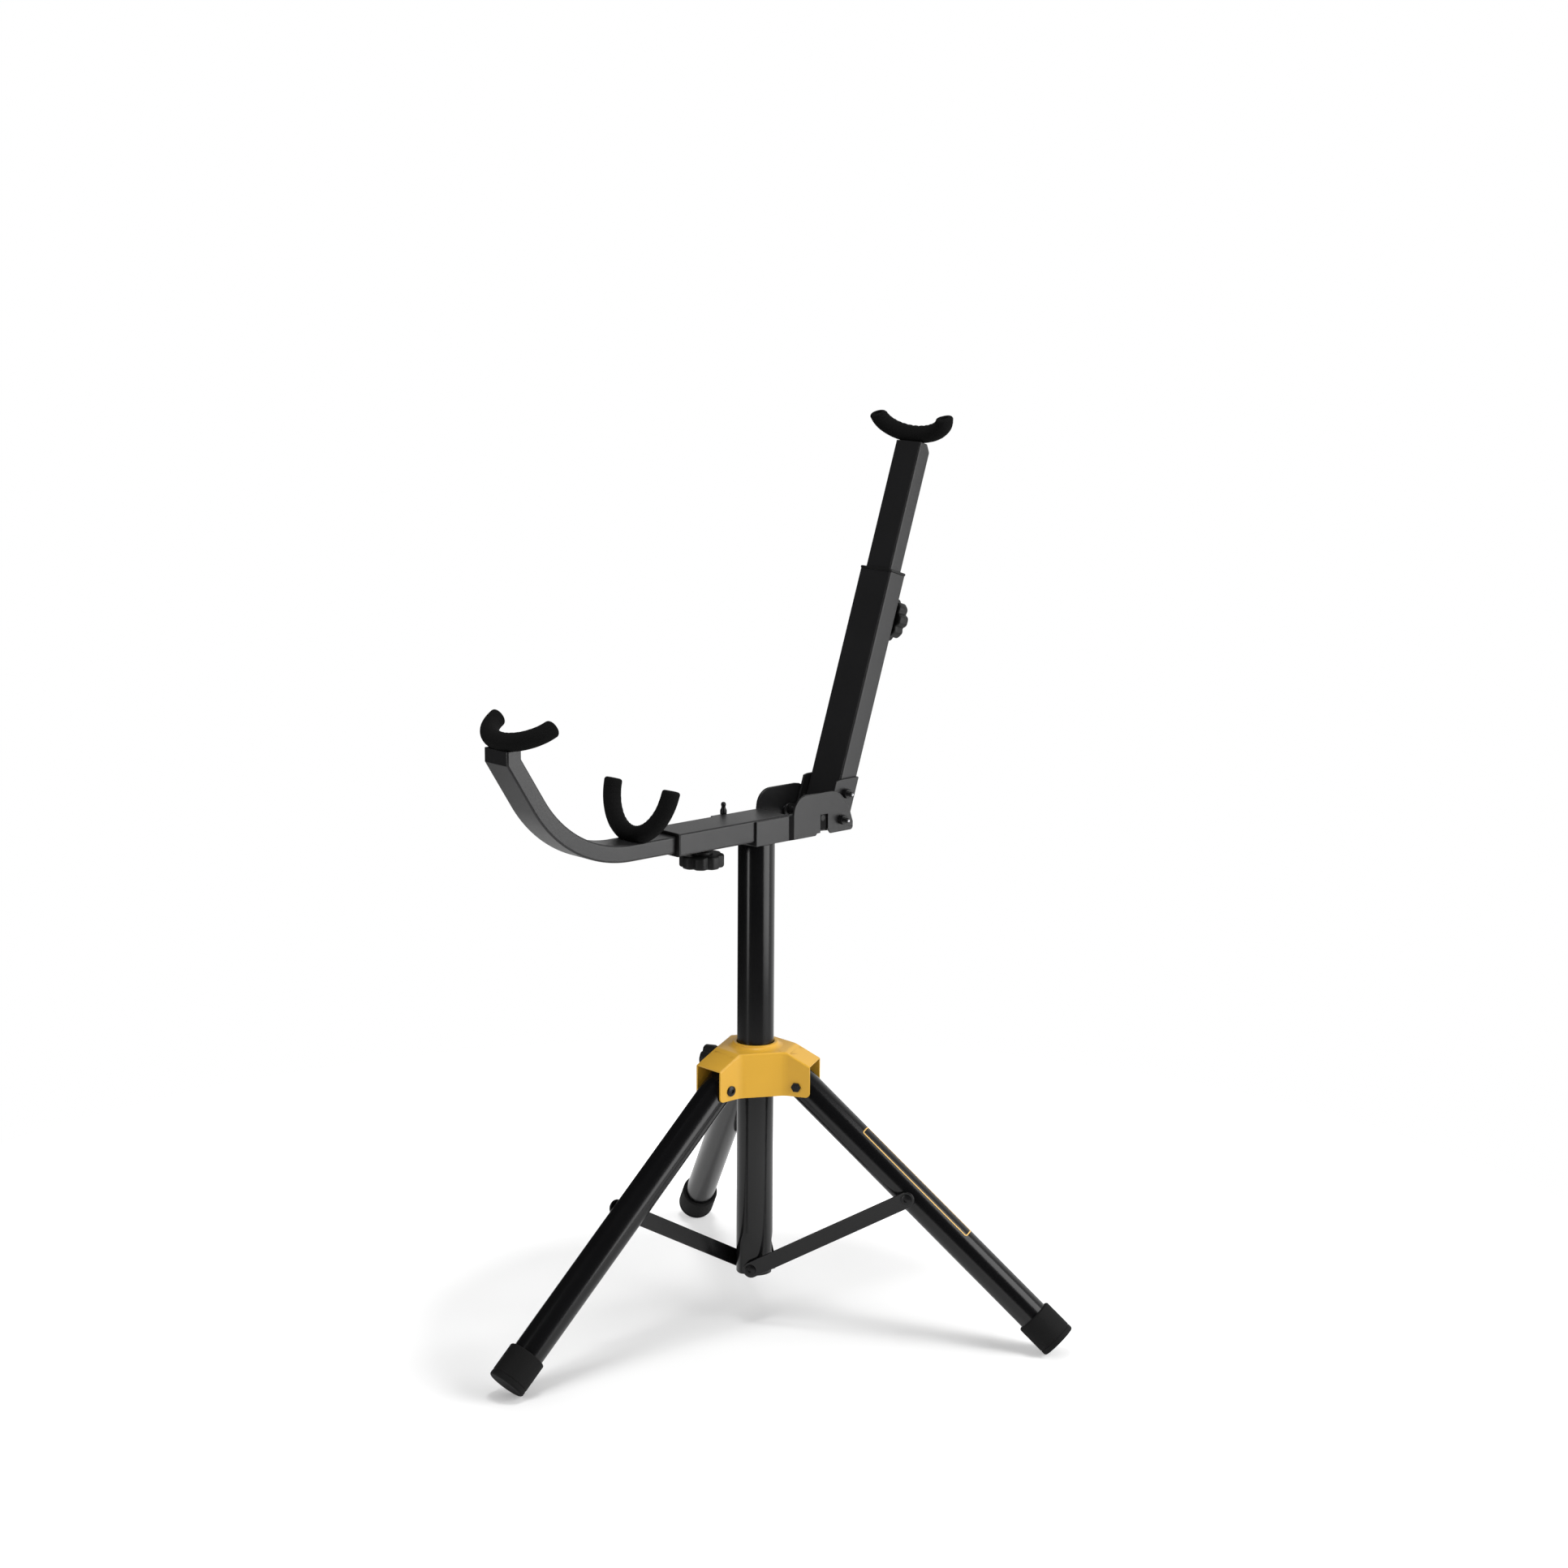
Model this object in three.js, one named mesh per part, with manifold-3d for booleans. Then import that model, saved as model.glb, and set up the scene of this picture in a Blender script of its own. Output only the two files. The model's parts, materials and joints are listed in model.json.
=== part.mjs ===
// Folding tuba stand: a tripod with a sliding hub, a curved front arm with two
// padded cradles, and a folding, telescoping backrest with a padded yoke.
// Millimetres, +Z up. The front arm points along +X, and Y = 0 is its mid plane.

import * as THREE from 'three';
import { mergeVertices } from 'three/addons/utils/BufferGeometryUtils.js';
import Module from 'manifold-3d';

const wasm = await Module();
wasm.setup();

// Clearances shared by every fit
const slide_gap = 0.3;
const hole_gap = 0.4;
const cut_overrun = 5;
const weld_distance = 1e-4;

// Facets of round shapes
const post_facets = 36;
const leg_facets = 24;
const bolt_facets = 10;
const foam_facets = 12;
const rod_facets = 8;
const yoke_steps = 18;
const arc_steps = 6;
const corner_steps = 2;

// Centre post
const post_diameter = 42;
const post_wall = 2.5;
const post_foot_height = 58;
const post_top_height = 570;
const post_flat_depth = 3;
const post_flat_height = 38;
const post_flat_ramp = 14;

// Legs, measured from the hub pivot
const leg_diameter = 36;
const leg_wall = 2;
const leg_length = 412.4;
const leg_slope_deg = 41.84;
const leg_pivot_radius = 55.5;
const leg_head_length = 14;
const leg_insert_length = 26;
const foot_diameter = 43.5;
const foot_length = 41;
const foot_sole = 6;
const foot_edge_radius = 2;
const foot_contact_depth = 1;

// Braces between the post's lower end and the legs
const brace_width = 18.5;
const brace_thickness = 2.9;
const brace_post_clearance = 0.6;
const brace_inner_radius = 3;
const brace_inner_height = 66;
const brace_on_leg = 177.9;
const rivet_diameter = 6;
const rivet_head_diameter = 13;
const rivet_head_height = 2.5;
const rivet_head_bevel = 1.5;
const rivet_shoulder_diameter = 12;
const rivet_tail_diameter = 10;
const rivet_tail_height = 2;

// Tripod hub, pressed from sheet
const hub_sheet = 2.3;
const hub_side_gap = 0.5;
const hub_rise = 40.2;
const hub_drop = 11.3;
const hub_fold_radius = 42.2;
const hub_reach = 71.5;
const hub_top_slope_deg = 27;
const hub_collar_height = 4.5;
const hub_collar_flare = 3.2;
const hub_sleeve_wall = 1.5;
const hub_bushing_wall = 2.4;
const hub_bushing_recess = 2;
const pivot_bolt_diameter = 8;
const pivot_head_diameter = 12;
const pivot_head_height = 2.2;
const pivot_nut_height = 2.6;
const hub_knob_rise = 9;

// Telescoping rectangular tubes: width across, height in the arm's plane
const outer_tube_width = 50;
const outer_tube_height = 25;
const outer_tube_wall = 1.5;
const inner_tube_wall = 1.5;
const tube_corner_radius = 2.2;
const liner_side_wall = 2.7;
const liner_flat_wall = 0.9;
const liner_lip = 3;
const liner_length = 58;
const tube_plug_length = 14;
const tube_plug_flange = 2;
const tube_end_plate = 2;

// Socket tube and hinge bracket on top of the post
const socket_front = 134;
const socket_back = 24;
const bracket_plate = 3;
const bracket_floor = 4.5;
const bracket_front = 25;
const bracket_jog_length = 4;
const bracket_edge_drop = 1.1;
const cheek_back = 120;
const cheek_rise = 20.5;
const cheek_lift = 1;
const cheek_front_radius = 20;
const cheek_back_curve = 34;
const cheek_back_pull = 12;
const cheek_back_drop = 39.5;
const cheek_foot_radius = 4;
const cheek_relief_height = 2.5;
const cheek_relief_length = 5;
const notch_width = 11.3;
const notch_chamfer_width = 4.5;
const notch_chamfer_height = 6;
const lug_thickness = 3;
const lug_length = 20;
const lug_width = 10;
const lug_setback = 9.5;
const lug_depth_below_top = 3;
const stud_diameter = 8;
const stud_neck_diameter = 5;
const stud_height = 15;
const stud_dome_height = 5;
const stud_edge_distance = 5;

// Front arm: straight, long bend, slanted run, upright end
const arm_tail_back = 10;
const arm_straight = 65;
const arm_bend_radius = 148.5;
const arm_rise_deg = 57.4;
const arm_slant_length = 60.1;
const arm_end_length = 12.3;

// Backrest, measured from the bracket's bolt along the leaning tube
const pivot_back = 101;
const pivot_drop = 1.7;
const lean_deg = 18;
const backrest_face_offset = 8.5;
const backrest_tube_start = 8;
const backrest_tube_end = 289;
const backrest_bolt_along = 30;
const backrest_bolt_back = 0.4;
const backrest_inner_start = 108;
const backrest_inner_end = 442.7;
const backrest_chamfer_along = 10;
const backrest_chamfer_depth = 7.8;
const ear_plate = 3;
const ear_back = 16.2;
const ear_front = 17;
const ear_heel_radius = 13;
const ear_heel_height = 8;
const ear_front_height = 42.9;
const ear_back_height = 52.4;
const ear_corner_width = 4.6;
const ear_corner_drop = 2.8;
const ear_back_corner = 1;
const ear_web_start = 3;
const ear_web_height = 16;
const ear_lobe_radius = 8.5;
const ear_lobe_low_forward = 24;
const ear_lobe_low_drop = 10.5;
const stop_pin_forward = 26.4;
const stop_pin_drop = 3.6;
const stop_pin_diameter = 8;
const hinge_bolt_diameter = 6;
const hinge_nut_across = 10;
const hinge_nut_height = 6;
const hinge_bolt_tip = 7;
const hinge_head_height = 4;
const hinge_side_gap = 1;

// Padded yokes: bent rod inside a foam sleeve
const rod_diameter = 8;
const foam_diameter = 20;
const foam_end = 3.5;
const front_yoke_half_width = 46;
const front_yoke_depth = 37.5;
const front_yoke_stand = 8.1;
const front_yoke_forward = 2.5;
const front_yoke_tilt_deg = -63.5;
const middle_yoke_half_width = 49;
const middle_yoke_depth = 56;
const middle_yoke_stand = 5.5;
const middle_yoke_tilt_deg = -15;
const middle_yoke_forward = 48;
const top_yoke_half_width = 54;
const top_yoke_depth = 24;
const top_yoke_stand = 10;
const top_yoke_tilt_deg = 20;
const top_yoke_forward = 0.7;

// Clamp knobs, all alike
const knob_diameter = 50;
const knob_height = 14.5;
const knob_lobes = 8;
const knob_points_per_lobe = 4;
const knob_scallop = 1.6;
const knob_bevel = 2;
const knob_neck_diameter = 24;
const knob_neck_height = 3;
const knob_stud_diameter = 8;
const knob_stud_depth = 9;
const clamp_nut_across = 14;
const clamp_nut_height = 5;
const arm_knob_forward = 82;
const backrest_knob_along = 239.5;

// Sizes that follow from the ones above
const degree = Math.PI / 180;
const leg_azimuths_deg = [0, 120, -120];
const hub_face_angle = Math.PI / leg_azimuths_deg.length;
const leg_names = ['front', 'left', 'right'];
const post_radius = post_diameter / 2;
const leg_radius = leg_diameter / 2;
const foot_radius = foot_diameter / 2;
const leg_slope = leg_slope_deg * degree;
const pivot_height = leg_length * Math.sin(leg_slope) + foot_radius * Math.cos(leg_slope)
  - foot_contact_depth;

const hub_inner_side = leg_radius + hub_side_gap;
const hub_outer_side = hub_inner_side + hub_sheet;
const hub_top = pivot_height + hub_rise;
const hub_bottom = pivot_height - hub_drop;
const hub_bushing_radius = post_radius + slide_gap;
const hub_sleeve_radius = hub_bushing_radius + hub_bushing_wall + slide_gap;
const hub_face_distance = hub_fold_radius * Math.cos(hub_face_angle)
  + hub_outer_side * Math.sin(hub_face_angle);

const brace_inside = post_radius + brace_post_clearance;
const brace_outside = brace_inside + brace_thickness;
const brace_outer_radius = leg_pivot_radius + brace_on_leg * Math.cos(leg_slope);
const brace_outer_height = pivot_height - brace_on_leg * Math.sin(leg_slope);
const brace_run = brace_outer_radius - brace_inner_radius;
const brace_climb = brace_outer_height - brace_inner_height;
const brace_length = Math.hypot(brace_run, brace_climb);
const brace_angle = Math.atan2(brace_climb, brace_run);

const liner_width = outer_tube_width - 2 * outer_tube_wall - 2 * slide_gap;
const liner_height = outer_tube_height - 2 * outer_tube_wall - 2 * slide_gap;
const liner_bore_width = liner_width - 2 * liner_side_wall;
const liner_bore_height = liner_height - 2 * liner_flat_wall;
const inner_tube_width = liner_bore_width - 2 * slide_gap;
const inner_tube_height = liner_bore_height - 2 * slide_gap;

const socket_bottom = post_top_height + bracket_floor;
const socket_top = socket_bottom + outer_tube_height;
const socket_middle = (socket_bottom + socket_top) / 2;
const arm_top = socket_middle + inner_tube_height / 2;
const arm_bend_start = socket_front + arm_straight;

const lean = lean_deg * degree;
const pivot_x = -pivot_back;
const pivot_z = socket_middle - pivot_drop;
const backrest_middle = backrest_face_offset - outer_tube_height / 2;
const ear_inside = outer_tube_width / 2 + slide_gap;
const ear_outside = ear_inside + ear_plate;
const cheek_inside = ear_outside + hinge_side_gap;
const cheek_outside = cheek_inside + bracket_plate;
const flank_inside = outer_tube_width / 2;
const flank_outside = flank_inside + bracket_plate;
const stop_pin_x = pivot_x + stop_pin_forward * Math.cos(lean) + stop_pin_drop * Math.sin(lean);
const stop_pin_z = pivot_z + stop_pin_forward * Math.sin(lean) - stop_pin_drop * Math.cos(lean);
const rod_radius = rod_diameter / 2;
const foam_radius = foam_diameter / 2;

// Finishes
const finishes = {
  gloss_black: { color: 0x17181a, roughness: 0.35, metalness: 0.5 },
  textured_black: { color: 0x4a4a4e, roughness: 0.7, metalness: 0.3 },
  hub_yellow: { color: 0xd9a02a, roughness: 0.45, metalness: 0.2 },
  foam: { color: 0x0d0d0e, roughness: 0.95, metalness: 0 },
  rubber: { color: 0x2b2b2c, roughness: 0.85, metalness: 0 },
  plastic: { color: 0x121213, roughness: 0.5, metalness: 0 },
  black_steel: { color: 0x1b1b1d, roughness: 0.4, metalness: 0.8 },
  bright_steel: { color: 0x9a9ca0, roughness: 0.35, metalness: 0.9 },
};

/** A solid that can be joined and cut, made from a closed geometry. */
function solid(geometry) {
  const bare = geometry.clone();
  bare.deleteAttribute('normal');
  bare.deleteAttribute('uv');
  const merged = mergeVertices(bare, weld_distance);
  const corners = merged.index.array;
  const kept = [];
  for (let i = 0; i < corners.length; i += 3) {
    const [a, b, c] = [corners[i], corners[i + 1], corners[i + 2]];
    if (a !== b && b !== c && c !== a) kept.push(a, b, c);
  }
  const vertProperties = Float32Array.from(merged.attributes.position.array);
  const triVerts = Uint32Array.from(kept);
  return new wasm.Manifold(new wasm.Mesh({ numProp: 3, vertProperties, triVerts }));
}

/** The closed geometry of a solid. */
function geometryOf(manifold) {
  const mesh = manifold.getMesh();
  const geometry = new THREE.BufferGeometry();
  const positions = Float32Array.from(mesh.vertProperties);
  geometry.setAttribute('position', new THREE.BufferAttribute(positions, 3));
  geometry.setIndex(Array.from(mesh.triVerts));
  geometry.computeVertexNormals();
  return geometry;
}

/** One solid from several. */
function join(...parts) {
  return parts.reduce((whole, part) => whole.add(part));
}

/** A solid with others taken out of it. */
function cut(body, ...tools) {
  return tools.reduce((rest, tool) => rest.subtract(tool), body);
}

/** A named mesh with one of the finishes. */
function piece(name, manifold, finish) {
  const material = new THREE.MeshStandardMaterial(finishes[finish]);
  const mesh = new THREE.Mesh(geometryOf(manifold), material);
  mesh.name = name;
  return mesh;
}

/** A box between two corners. */
function block(low, high) {
  const size = high.map((value, axis) => value - low[axis]);
  const middle = high.map((value, axis) => (value + low[axis]) / 2);
  const geometry = new THREE.BoxGeometry(...size);
  geometry.translate(...middle);
  return solid(geometry);
}

/** A solid of revolution about a line through start, from [radius, distance] pairs along it. */
function turned(profile, start, direction, facets) {
  const points = profile.map(([radius, along]) => new THREE.Vector2(radius, along));
  const geometry = new THREE.LatheGeometry(points, facets);
  const turn = new THREE.Quaternion();
  turn.setFromUnitVectors(new THREE.Vector3(0, 1, 0), new THREE.Vector3(...direction).normalize());
  geometry.applyQuaternion(turn);
  geometry.translate(...start);
  return solid(geometry);
}

/** A round bar along a line, from one distance to another. */
function bar(radius, from, to, start, direction, facets) {
  return turned([[0, from], [radius, from], [radius, to], [0, to]], start, direction, facets);
}

/** A hexagonal nut or bolt head with the given width across its flats. */
function hexagon(across, from, to, start, direction) {
  return bar(across / Math.sqrt(3), from, to, start, direction, 6);
}

/** An outline in X and Z, extruded across Y between two places. */
function acrossY(shape, from, to, bevel) {
  const geometry = new THREE.ExtrudeGeometry(shape, {
    depth: to - from - 2 * bevel,
    curveSegments: arc_steps,
    bevelEnabled: bevel > 0,
    bevelSize: bevel,
    bevelThickness: bevel,
    bevelOffset: -bevel,
    bevelSegments: corner_steps,
  });
  geometry.rotateX(Math.PI / 2);
  geometry.translate(0, to - bevel, 0);
  return solid(geometry);
}

/** A closed outline from a list of [x, y] corners. */
function outline(corners) {
  return new THREE.Shape(corners.map(([x, y]) => new THREE.Vector2(x, y)));
}

/** A rectangle with round corners, centred on the origin. */
function roundedRectangle(width, height, radius) {
  const [x, y] = [width / 2 - radius, height / 2 - radius];
  const shape = new THREE.Shape();
  shape.absarc(x, y, radius, 0, Math.PI / 2);
  shape.absarc(-x, y, radius, Math.PI / 2, Math.PI);
  shape.absarc(-x, -y, radius, Math.PI, 1.5 * Math.PI);
  shape.absarc(x, -y, radius, 1.5 * Math.PI, 2 * Math.PI);
  shape.closePath();
  return shape;
}

/** A rounded rectangular bar along Z. The height lies along X, the width along Y. */
function rectangularBar(width, height, radius, from, to) {
  const settings = { depth: to - from, bevelEnabled: false, curveSegments: corner_steps };
  const geometry = new THREE.ExtrudeGeometry(roundedRectangle(height, width, radius), settings);
  geometry.translate(0, 0, from);
  return solid(geometry);
}

/** A rectangular tube along Z with a wall of the given thickness. */
function rectangularTube(width, height, wall, radius, from, to) {
  const bore_radius = Math.max(radius - wall, wall / 2);
  const bore = rectangularBar(width - 2 * wall, height - 2 * wall, bore_radius,
    from - cut_overrun, to + cut_overrun);
  return cut(rectangularBar(width, height, radius, from, to), bore);
}

/** The plastic liner at a tube's mouth, along Z, with its lip above the mouth. */
function mouthLiner(mouth) {
  const body = rectangularBar(liner_width, liner_height, tube_corner_radius / 2, mouth - liner_length, mouth);
  const lip = rectangularBar(outer_tube_width, outer_tube_height, tube_corner_radius,
    mouth, mouth + liner_lip);
  const bore = rectangularBar(liner_bore_width, liner_bore_height, tube_corner_radius / 2,
    mouth - liner_length - cut_overrun, mouth + liner_lip + cut_overrun);
  return cut(join(body, lip), bore);
}

/** The plug in an inner tube's end, along Z: a flange outside the end and a body in the bore. */
function tubePlug(end) {
  const width = inner_tube_width - 2 * inner_tube_wall - 2 * slide_gap;
  const height = inner_tube_height - 2 * inner_tube_wall - 2 * slide_gap;
  const body = rectangularBar(width, height, tube_corner_radius / 2, end, end + tube_plug_length);
  const flange = rectangularBar(inner_tube_width, inner_tube_height, tube_corner_radius,
    end - tube_plug_flange, end - slide_gap);
  const neck = rectangularBar(width, height, tube_corner_radius / 2, end - tube_plug_flange, end);
  return join(body, neck, flange);
}

/** The middle line of a yoke, half an oval that opens along +Z, stopping short of its tips. */
class YokeLine extends THREE.Curve {
  constructor(half_width, depth, short_of_tip) {
    super();
    this.half_width = half_width;
    this.depth = depth;
    this.reach = Math.PI / 2 - short_of_tip / depth;
  }

  getPoint(t, target = new THREE.Vector3()) {
    const angle = (2 * t - 1) * this.reach;
    return target.set(0, this.half_width * Math.sin(angle), this.depth * (1 - Math.cos(angle)));
  }
}

/** A round section swept along a yoke's middle line. */
function sweep(line, radius, facets) {
  const section = new THREE.Shape();
  const corner = (i) => new THREE.Vector2(
    radius * Math.cos((i + 0.5) * 2 * Math.PI / facets),
    radius * Math.sin((i + 0.5) * 2 * Math.PI / facets));
  section.setFromPoints(Array.from({ length: facets }, (_, i) => corner(i)));
  return new THREE.ExtrudeGeometry(section, { steps: yoke_steps, extrudePath: line });
}

/**
 * A padded yoke on a face that looks along +Z, tilted about Y, with its base a
 * given stand above the face. seat is the solid that the foam is cut clear of.
 */
function yoke(name, half_width, depth, stand, tilt_deg, seat) {
  const placed = (line, radius, facets) => {
    const geometry = sweep(line, radius, facets);
    geometry.rotateY(tilt_deg * degree);
    geometry.translate(0, 0, stand);
    return solid(geometry);
  };
  const rod_line = new YokeLine(half_width, depth, foam_end);
  const bore_line = new YokeLine(half_width, depth, foam_end - slide_gap);
  const foam_line = new YokeLine(half_width, depth, 0);
  const stem = bar(rod_radius, slide_gap, stand, [0, 0, 0], [0, 0, 1], rod_facets);
  const rod = join(placed(rod_line, rod_radius, rod_facets), stem);
  const stem_hole = bar(rod_radius + hole_gap, -foam_radius, stand, [0, 0, 0], [0, 0, 1], rod_facets);
  const bore = placed(bore_line, rod_radius + hole_gap, rod_facets);
  const foam = cut(placed(foam_line, foam_radius, foam_facets), bore, stem_hole, seat);
  return [piece(`${name}_yoke_rod`, rod, 'black_steel'), piece(`${name}_yoke_foam`, foam, 'foam')];
}

/** The centre post: a round tube with three flats pressed into its lower end for the braces. */
function centrePost() {
  const wide = 2 * post_diameter;
  const pressed = (offset) => leg_azimuths_deg.map((azimuth) => {
    const ramp_top = post_foot_height + post_flat_height
      + post_flat_ramp * (wide - offset) / post_flat_depth;
    const shape = outline([
      [offset, post_foot_height - cut_overrun], [wide, post_foot_height - cut_overrun],
      [wide, ramp_top], [offset, post_foot_height + post_flat_height],
    ]);
    const geometry = new THREE.ExtrudeGeometry(shape, { depth: wide, bevelEnabled: false });
    geometry.rotateX(Math.PI / 2);
    geometry.translate(0, wide / 2, 0);
    geometry.rotateZ(azimuth * degree - Math.PI / 2);
    return solid(geometry);
  });
  const flat = post_radius - post_flat_depth;
  const shell = bar(post_radius, post_foot_height, post_top_height, [0, 0, 0], [0, 0, 1], post_facets);
  const bore = bar(post_radius - post_wall, post_foot_height - cut_overrun, post_top_height + cut_overrun,
    [0, 0, 0], [0, 0, 1], post_facets);
  const tube = cut(cut(shell, ...pressed(flat)), cut(bore, ...pressed(flat - post_wall)));
  const holes = leg_azimuths_deg.map((azimuth) => {
    const [start, side] = braceAxis(azimuth, brace_inner_radius, brace_inner_height);
    return bar(rivet_diameter / 2 + hole_gap, 0, wide, start, side, bolt_facets);
  });
  return piece('center_post', cut(tube, ...holes), 'gloss_black');
}

/** The start and direction of a rivet's axis, on the clockwise side of a leg's plane. */
function braceAxis(azimuth_deg, radius, height) {
  const azimuth = azimuth_deg * degree;
  const side = [Math.sin(azimuth), -Math.cos(azimuth), 0];
  return [[radius * Math.cos(azimuth), radius * Math.sin(azimuth), height], side];
}

/** A shouldered rivet through a brace. Distances are from the leg's or post's middle plane. */
function rivetProfile(tail_start) {
  const [shank, shoulder, head] = [rivet_diameter / 2, rivet_shoulder_diameter / 2, rivet_head_diameter / 2];
  const shoulder_end = brace_inside - slide_gap;
  const head_start = brace_outside + slide_gap;
  const head_end = head_start + rivet_head_height;
  return [
    [0, tail_start], [shoulder, tail_start], [shoulder, shoulder_end], [shank, shoulder_end],
    [shank, head_start], [head, head_start], [head - rivet_head_bevel, head_end], [0, head_end],
  ];
}

/** The rivets that hold the braces to the post, with their tails inside the tube. */
function innerRivets() {
  const flat = post_radius - post_flat_depth;
  const tail_end = flat - post_wall - slide_gap;
  const tail_start = tail_end - rivet_tail_height;
  const shank = rivet_diameter / 2;
  const shoulder_start = flat + slide_gap;
  const outer_part = rivetProfile(shoulder_start).slice(1);
  const profile = [
    [0, tail_start], [rivet_tail_diameter / 2, tail_start], [rivet_tail_diameter / 2, tail_end],
    [shank, tail_end], [shank, shoulder_start], ...outer_part,
  ];
  return leg_azimuths_deg.map((azimuth, i) => {
    const [start, side] = braceAxis(azimuth, brace_inner_radius, brace_inner_height);
    return piece(`post_rivet_${leg_names[i]}`, turned(profile, start, side, bolt_facets), 'black_steel');
  });
}

/** One brace with its outer rivet, in a group at the brace's lower pivot. */
function brace(name, azimuth) {
  const half = brace_width / 2;
  const shape = new THREE.Shape();
  shape.absarc(brace_length, 0, half, -Math.PI / 2, Math.PI / 2);
  shape.absarc(0, 0, half, Math.PI / 2, 1.5 * Math.PI);
  shape.closePath();
  const strip = acrossY(shape, -brace_outside, -brace_inside, 0);
  const hole = (x) => bar(rivet_diameter / 2 + hole_gap, 0, 2 * brace_outside,
    [x, 0, 0], [0, -1, 0], bolt_facets);
  const profile = rivetProfile(leg_radius + slide_gap);
  const rivet = turned(profile, [brace_length, 0, 0], [0, -1, 0], bolt_facets);
  const group = new THREE.Group();
  group.add(piece(`brace_${name}`, cut(strip, hole(0), hole(brace_length)), 'gloss_black'));
  group.add(piece(`brace_rivet_${name}`, rivet, 'black_steel'));
  group.position.set(brace_inner_radius, 0, brace_inner_height);
  group.rotation.y = -brace_angle;
  const turned_group = new THREE.Group();
  turned_group.add(group);
  turned_group.rotation.z = azimuth * degree;
  return turned_group;
}

/** One leg with its foot and the insert round its pivot bolt, in a group at the hub pivot. */
function leg(name, azimuth) {
  const tube_end = leg_length - foot_sole;
  const along = [1, 0, 0];
  const pivot_hole = bar(pivot_bolt_diameter / 2 + hole_gap, -leg_diameter, leg_diameter,
    [0, 0, 0], [0, 1, 0], bolt_facets);
  const shell = bar(leg_radius, -leg_head_length, tube_end, [0, 0, 0], along, leg_facets);
  const bore = bar(leg_radius - leg_wall, -leg_head_length - cut_overrun, tube_end + cut_overrun,
    [0, 0, 0], along, leg_facets);
  const insert = bar(leg_radius - leg_wall - slide_gap, -leg_head_length, leg_insert_length - leg_head_length,
    [0, 0, 0], along, leg_facets);
  const group = new THREE.Group();
  group.add(piece(`leg_${name}`, cut(shell, bore, pivot_hole), 'gloss_black'));
  group.add(piece(`leg_insert_${name}`, cut(insert, pivot_hole), 'plastic'));
  group.add(piece(`foot_${name}`, foot(tube_end), 'rubber'));
  group.position.set(leg_pivot_radius, 0, pivot_height);
  group.rotation.y = leg_slope;
  const turned_group = new THREE.Group();
  turned_group.add(group);
  turned_group.rotation.z = azimuth * degree;
  return turned_group;
}

/** A rubber foot on a leg's end, cut flat where it meets the floor. */
function foot(tube_end) {
  const start = leg_length - foot_length;
  const edge = foot_edge_radius;
  const bore = leg_radius + slide_gap;
  const body = turned([
    [bore, start], [foot_radius - edge, start], [foot_radius, start + edge],
    [foot_radius, leg_length], [0, leg_length], [0, tube_end + slide_gap], [bore, tube_end + slide_gap],
    [bore, start],
  ], [0, 0, 0], [1, 0, 0], leg_facets);
  const reach = 2 * foot_length;
  const floor = new THREE.BoxGeometry(2 * reach, 2 * reach, reach);
  floor.translate(0, 0, -reach / 2 - pivot_height);
  floor.rotateY(-leg_slope);
  const along_floor = leg_length * Math.cos(leg_slope);
  floor.translate(along_floor * Math.cos(leg_slope), 0, along_floor * Math.sin(leg_slope));
  return cut(body, solid(floor));
}

/** The plan of the hub: three pairs of flanges joined by flat faces between the legs. */
function hubPlan(side, fold, reach) {
  const corners = [];
  for (const azimuth of leg_azimuths_deg) {
    const [c, s] = [Math.cos(azimuth * degree), Math.sin(azimuth * degree)];
    for (const [r, w] of [[fold, -side], [reach, -side], [reach, side], [fold, side]]) {
      corners.push([r * c - w * s, r * s + w * c]);
    }
  }
  return outline(corners);
}

/** The hub's form, filled: an upright block with its tops sloping down over the legs. */
function hubForm(side, fold, reach, bottom, top) {
  const geometry = new THREE.ExtrudeGeometry(hubPlan(side, fold, reach),
    { depth: top - bottom, bevelEnabled: false });
  geometry.translate(0, 0, bottom);
  const slope = hub_top_slope_deg * degree;
  const slabs = leg_azimuths_deg.map((azimuth) => {
    const slab = new THREE.BoxGeometry(4 * reach, 2 * reach, 2 * reach);
    slab.translate(0, 0, reach);
    slab.rotateY(slope);
    slab.translate(fold, 0, top);
    slab.rotateZ(azimuth * degree);
    return solid(slab);
  });
  return cut(solid(geometry), ...slabs);
}

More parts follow.
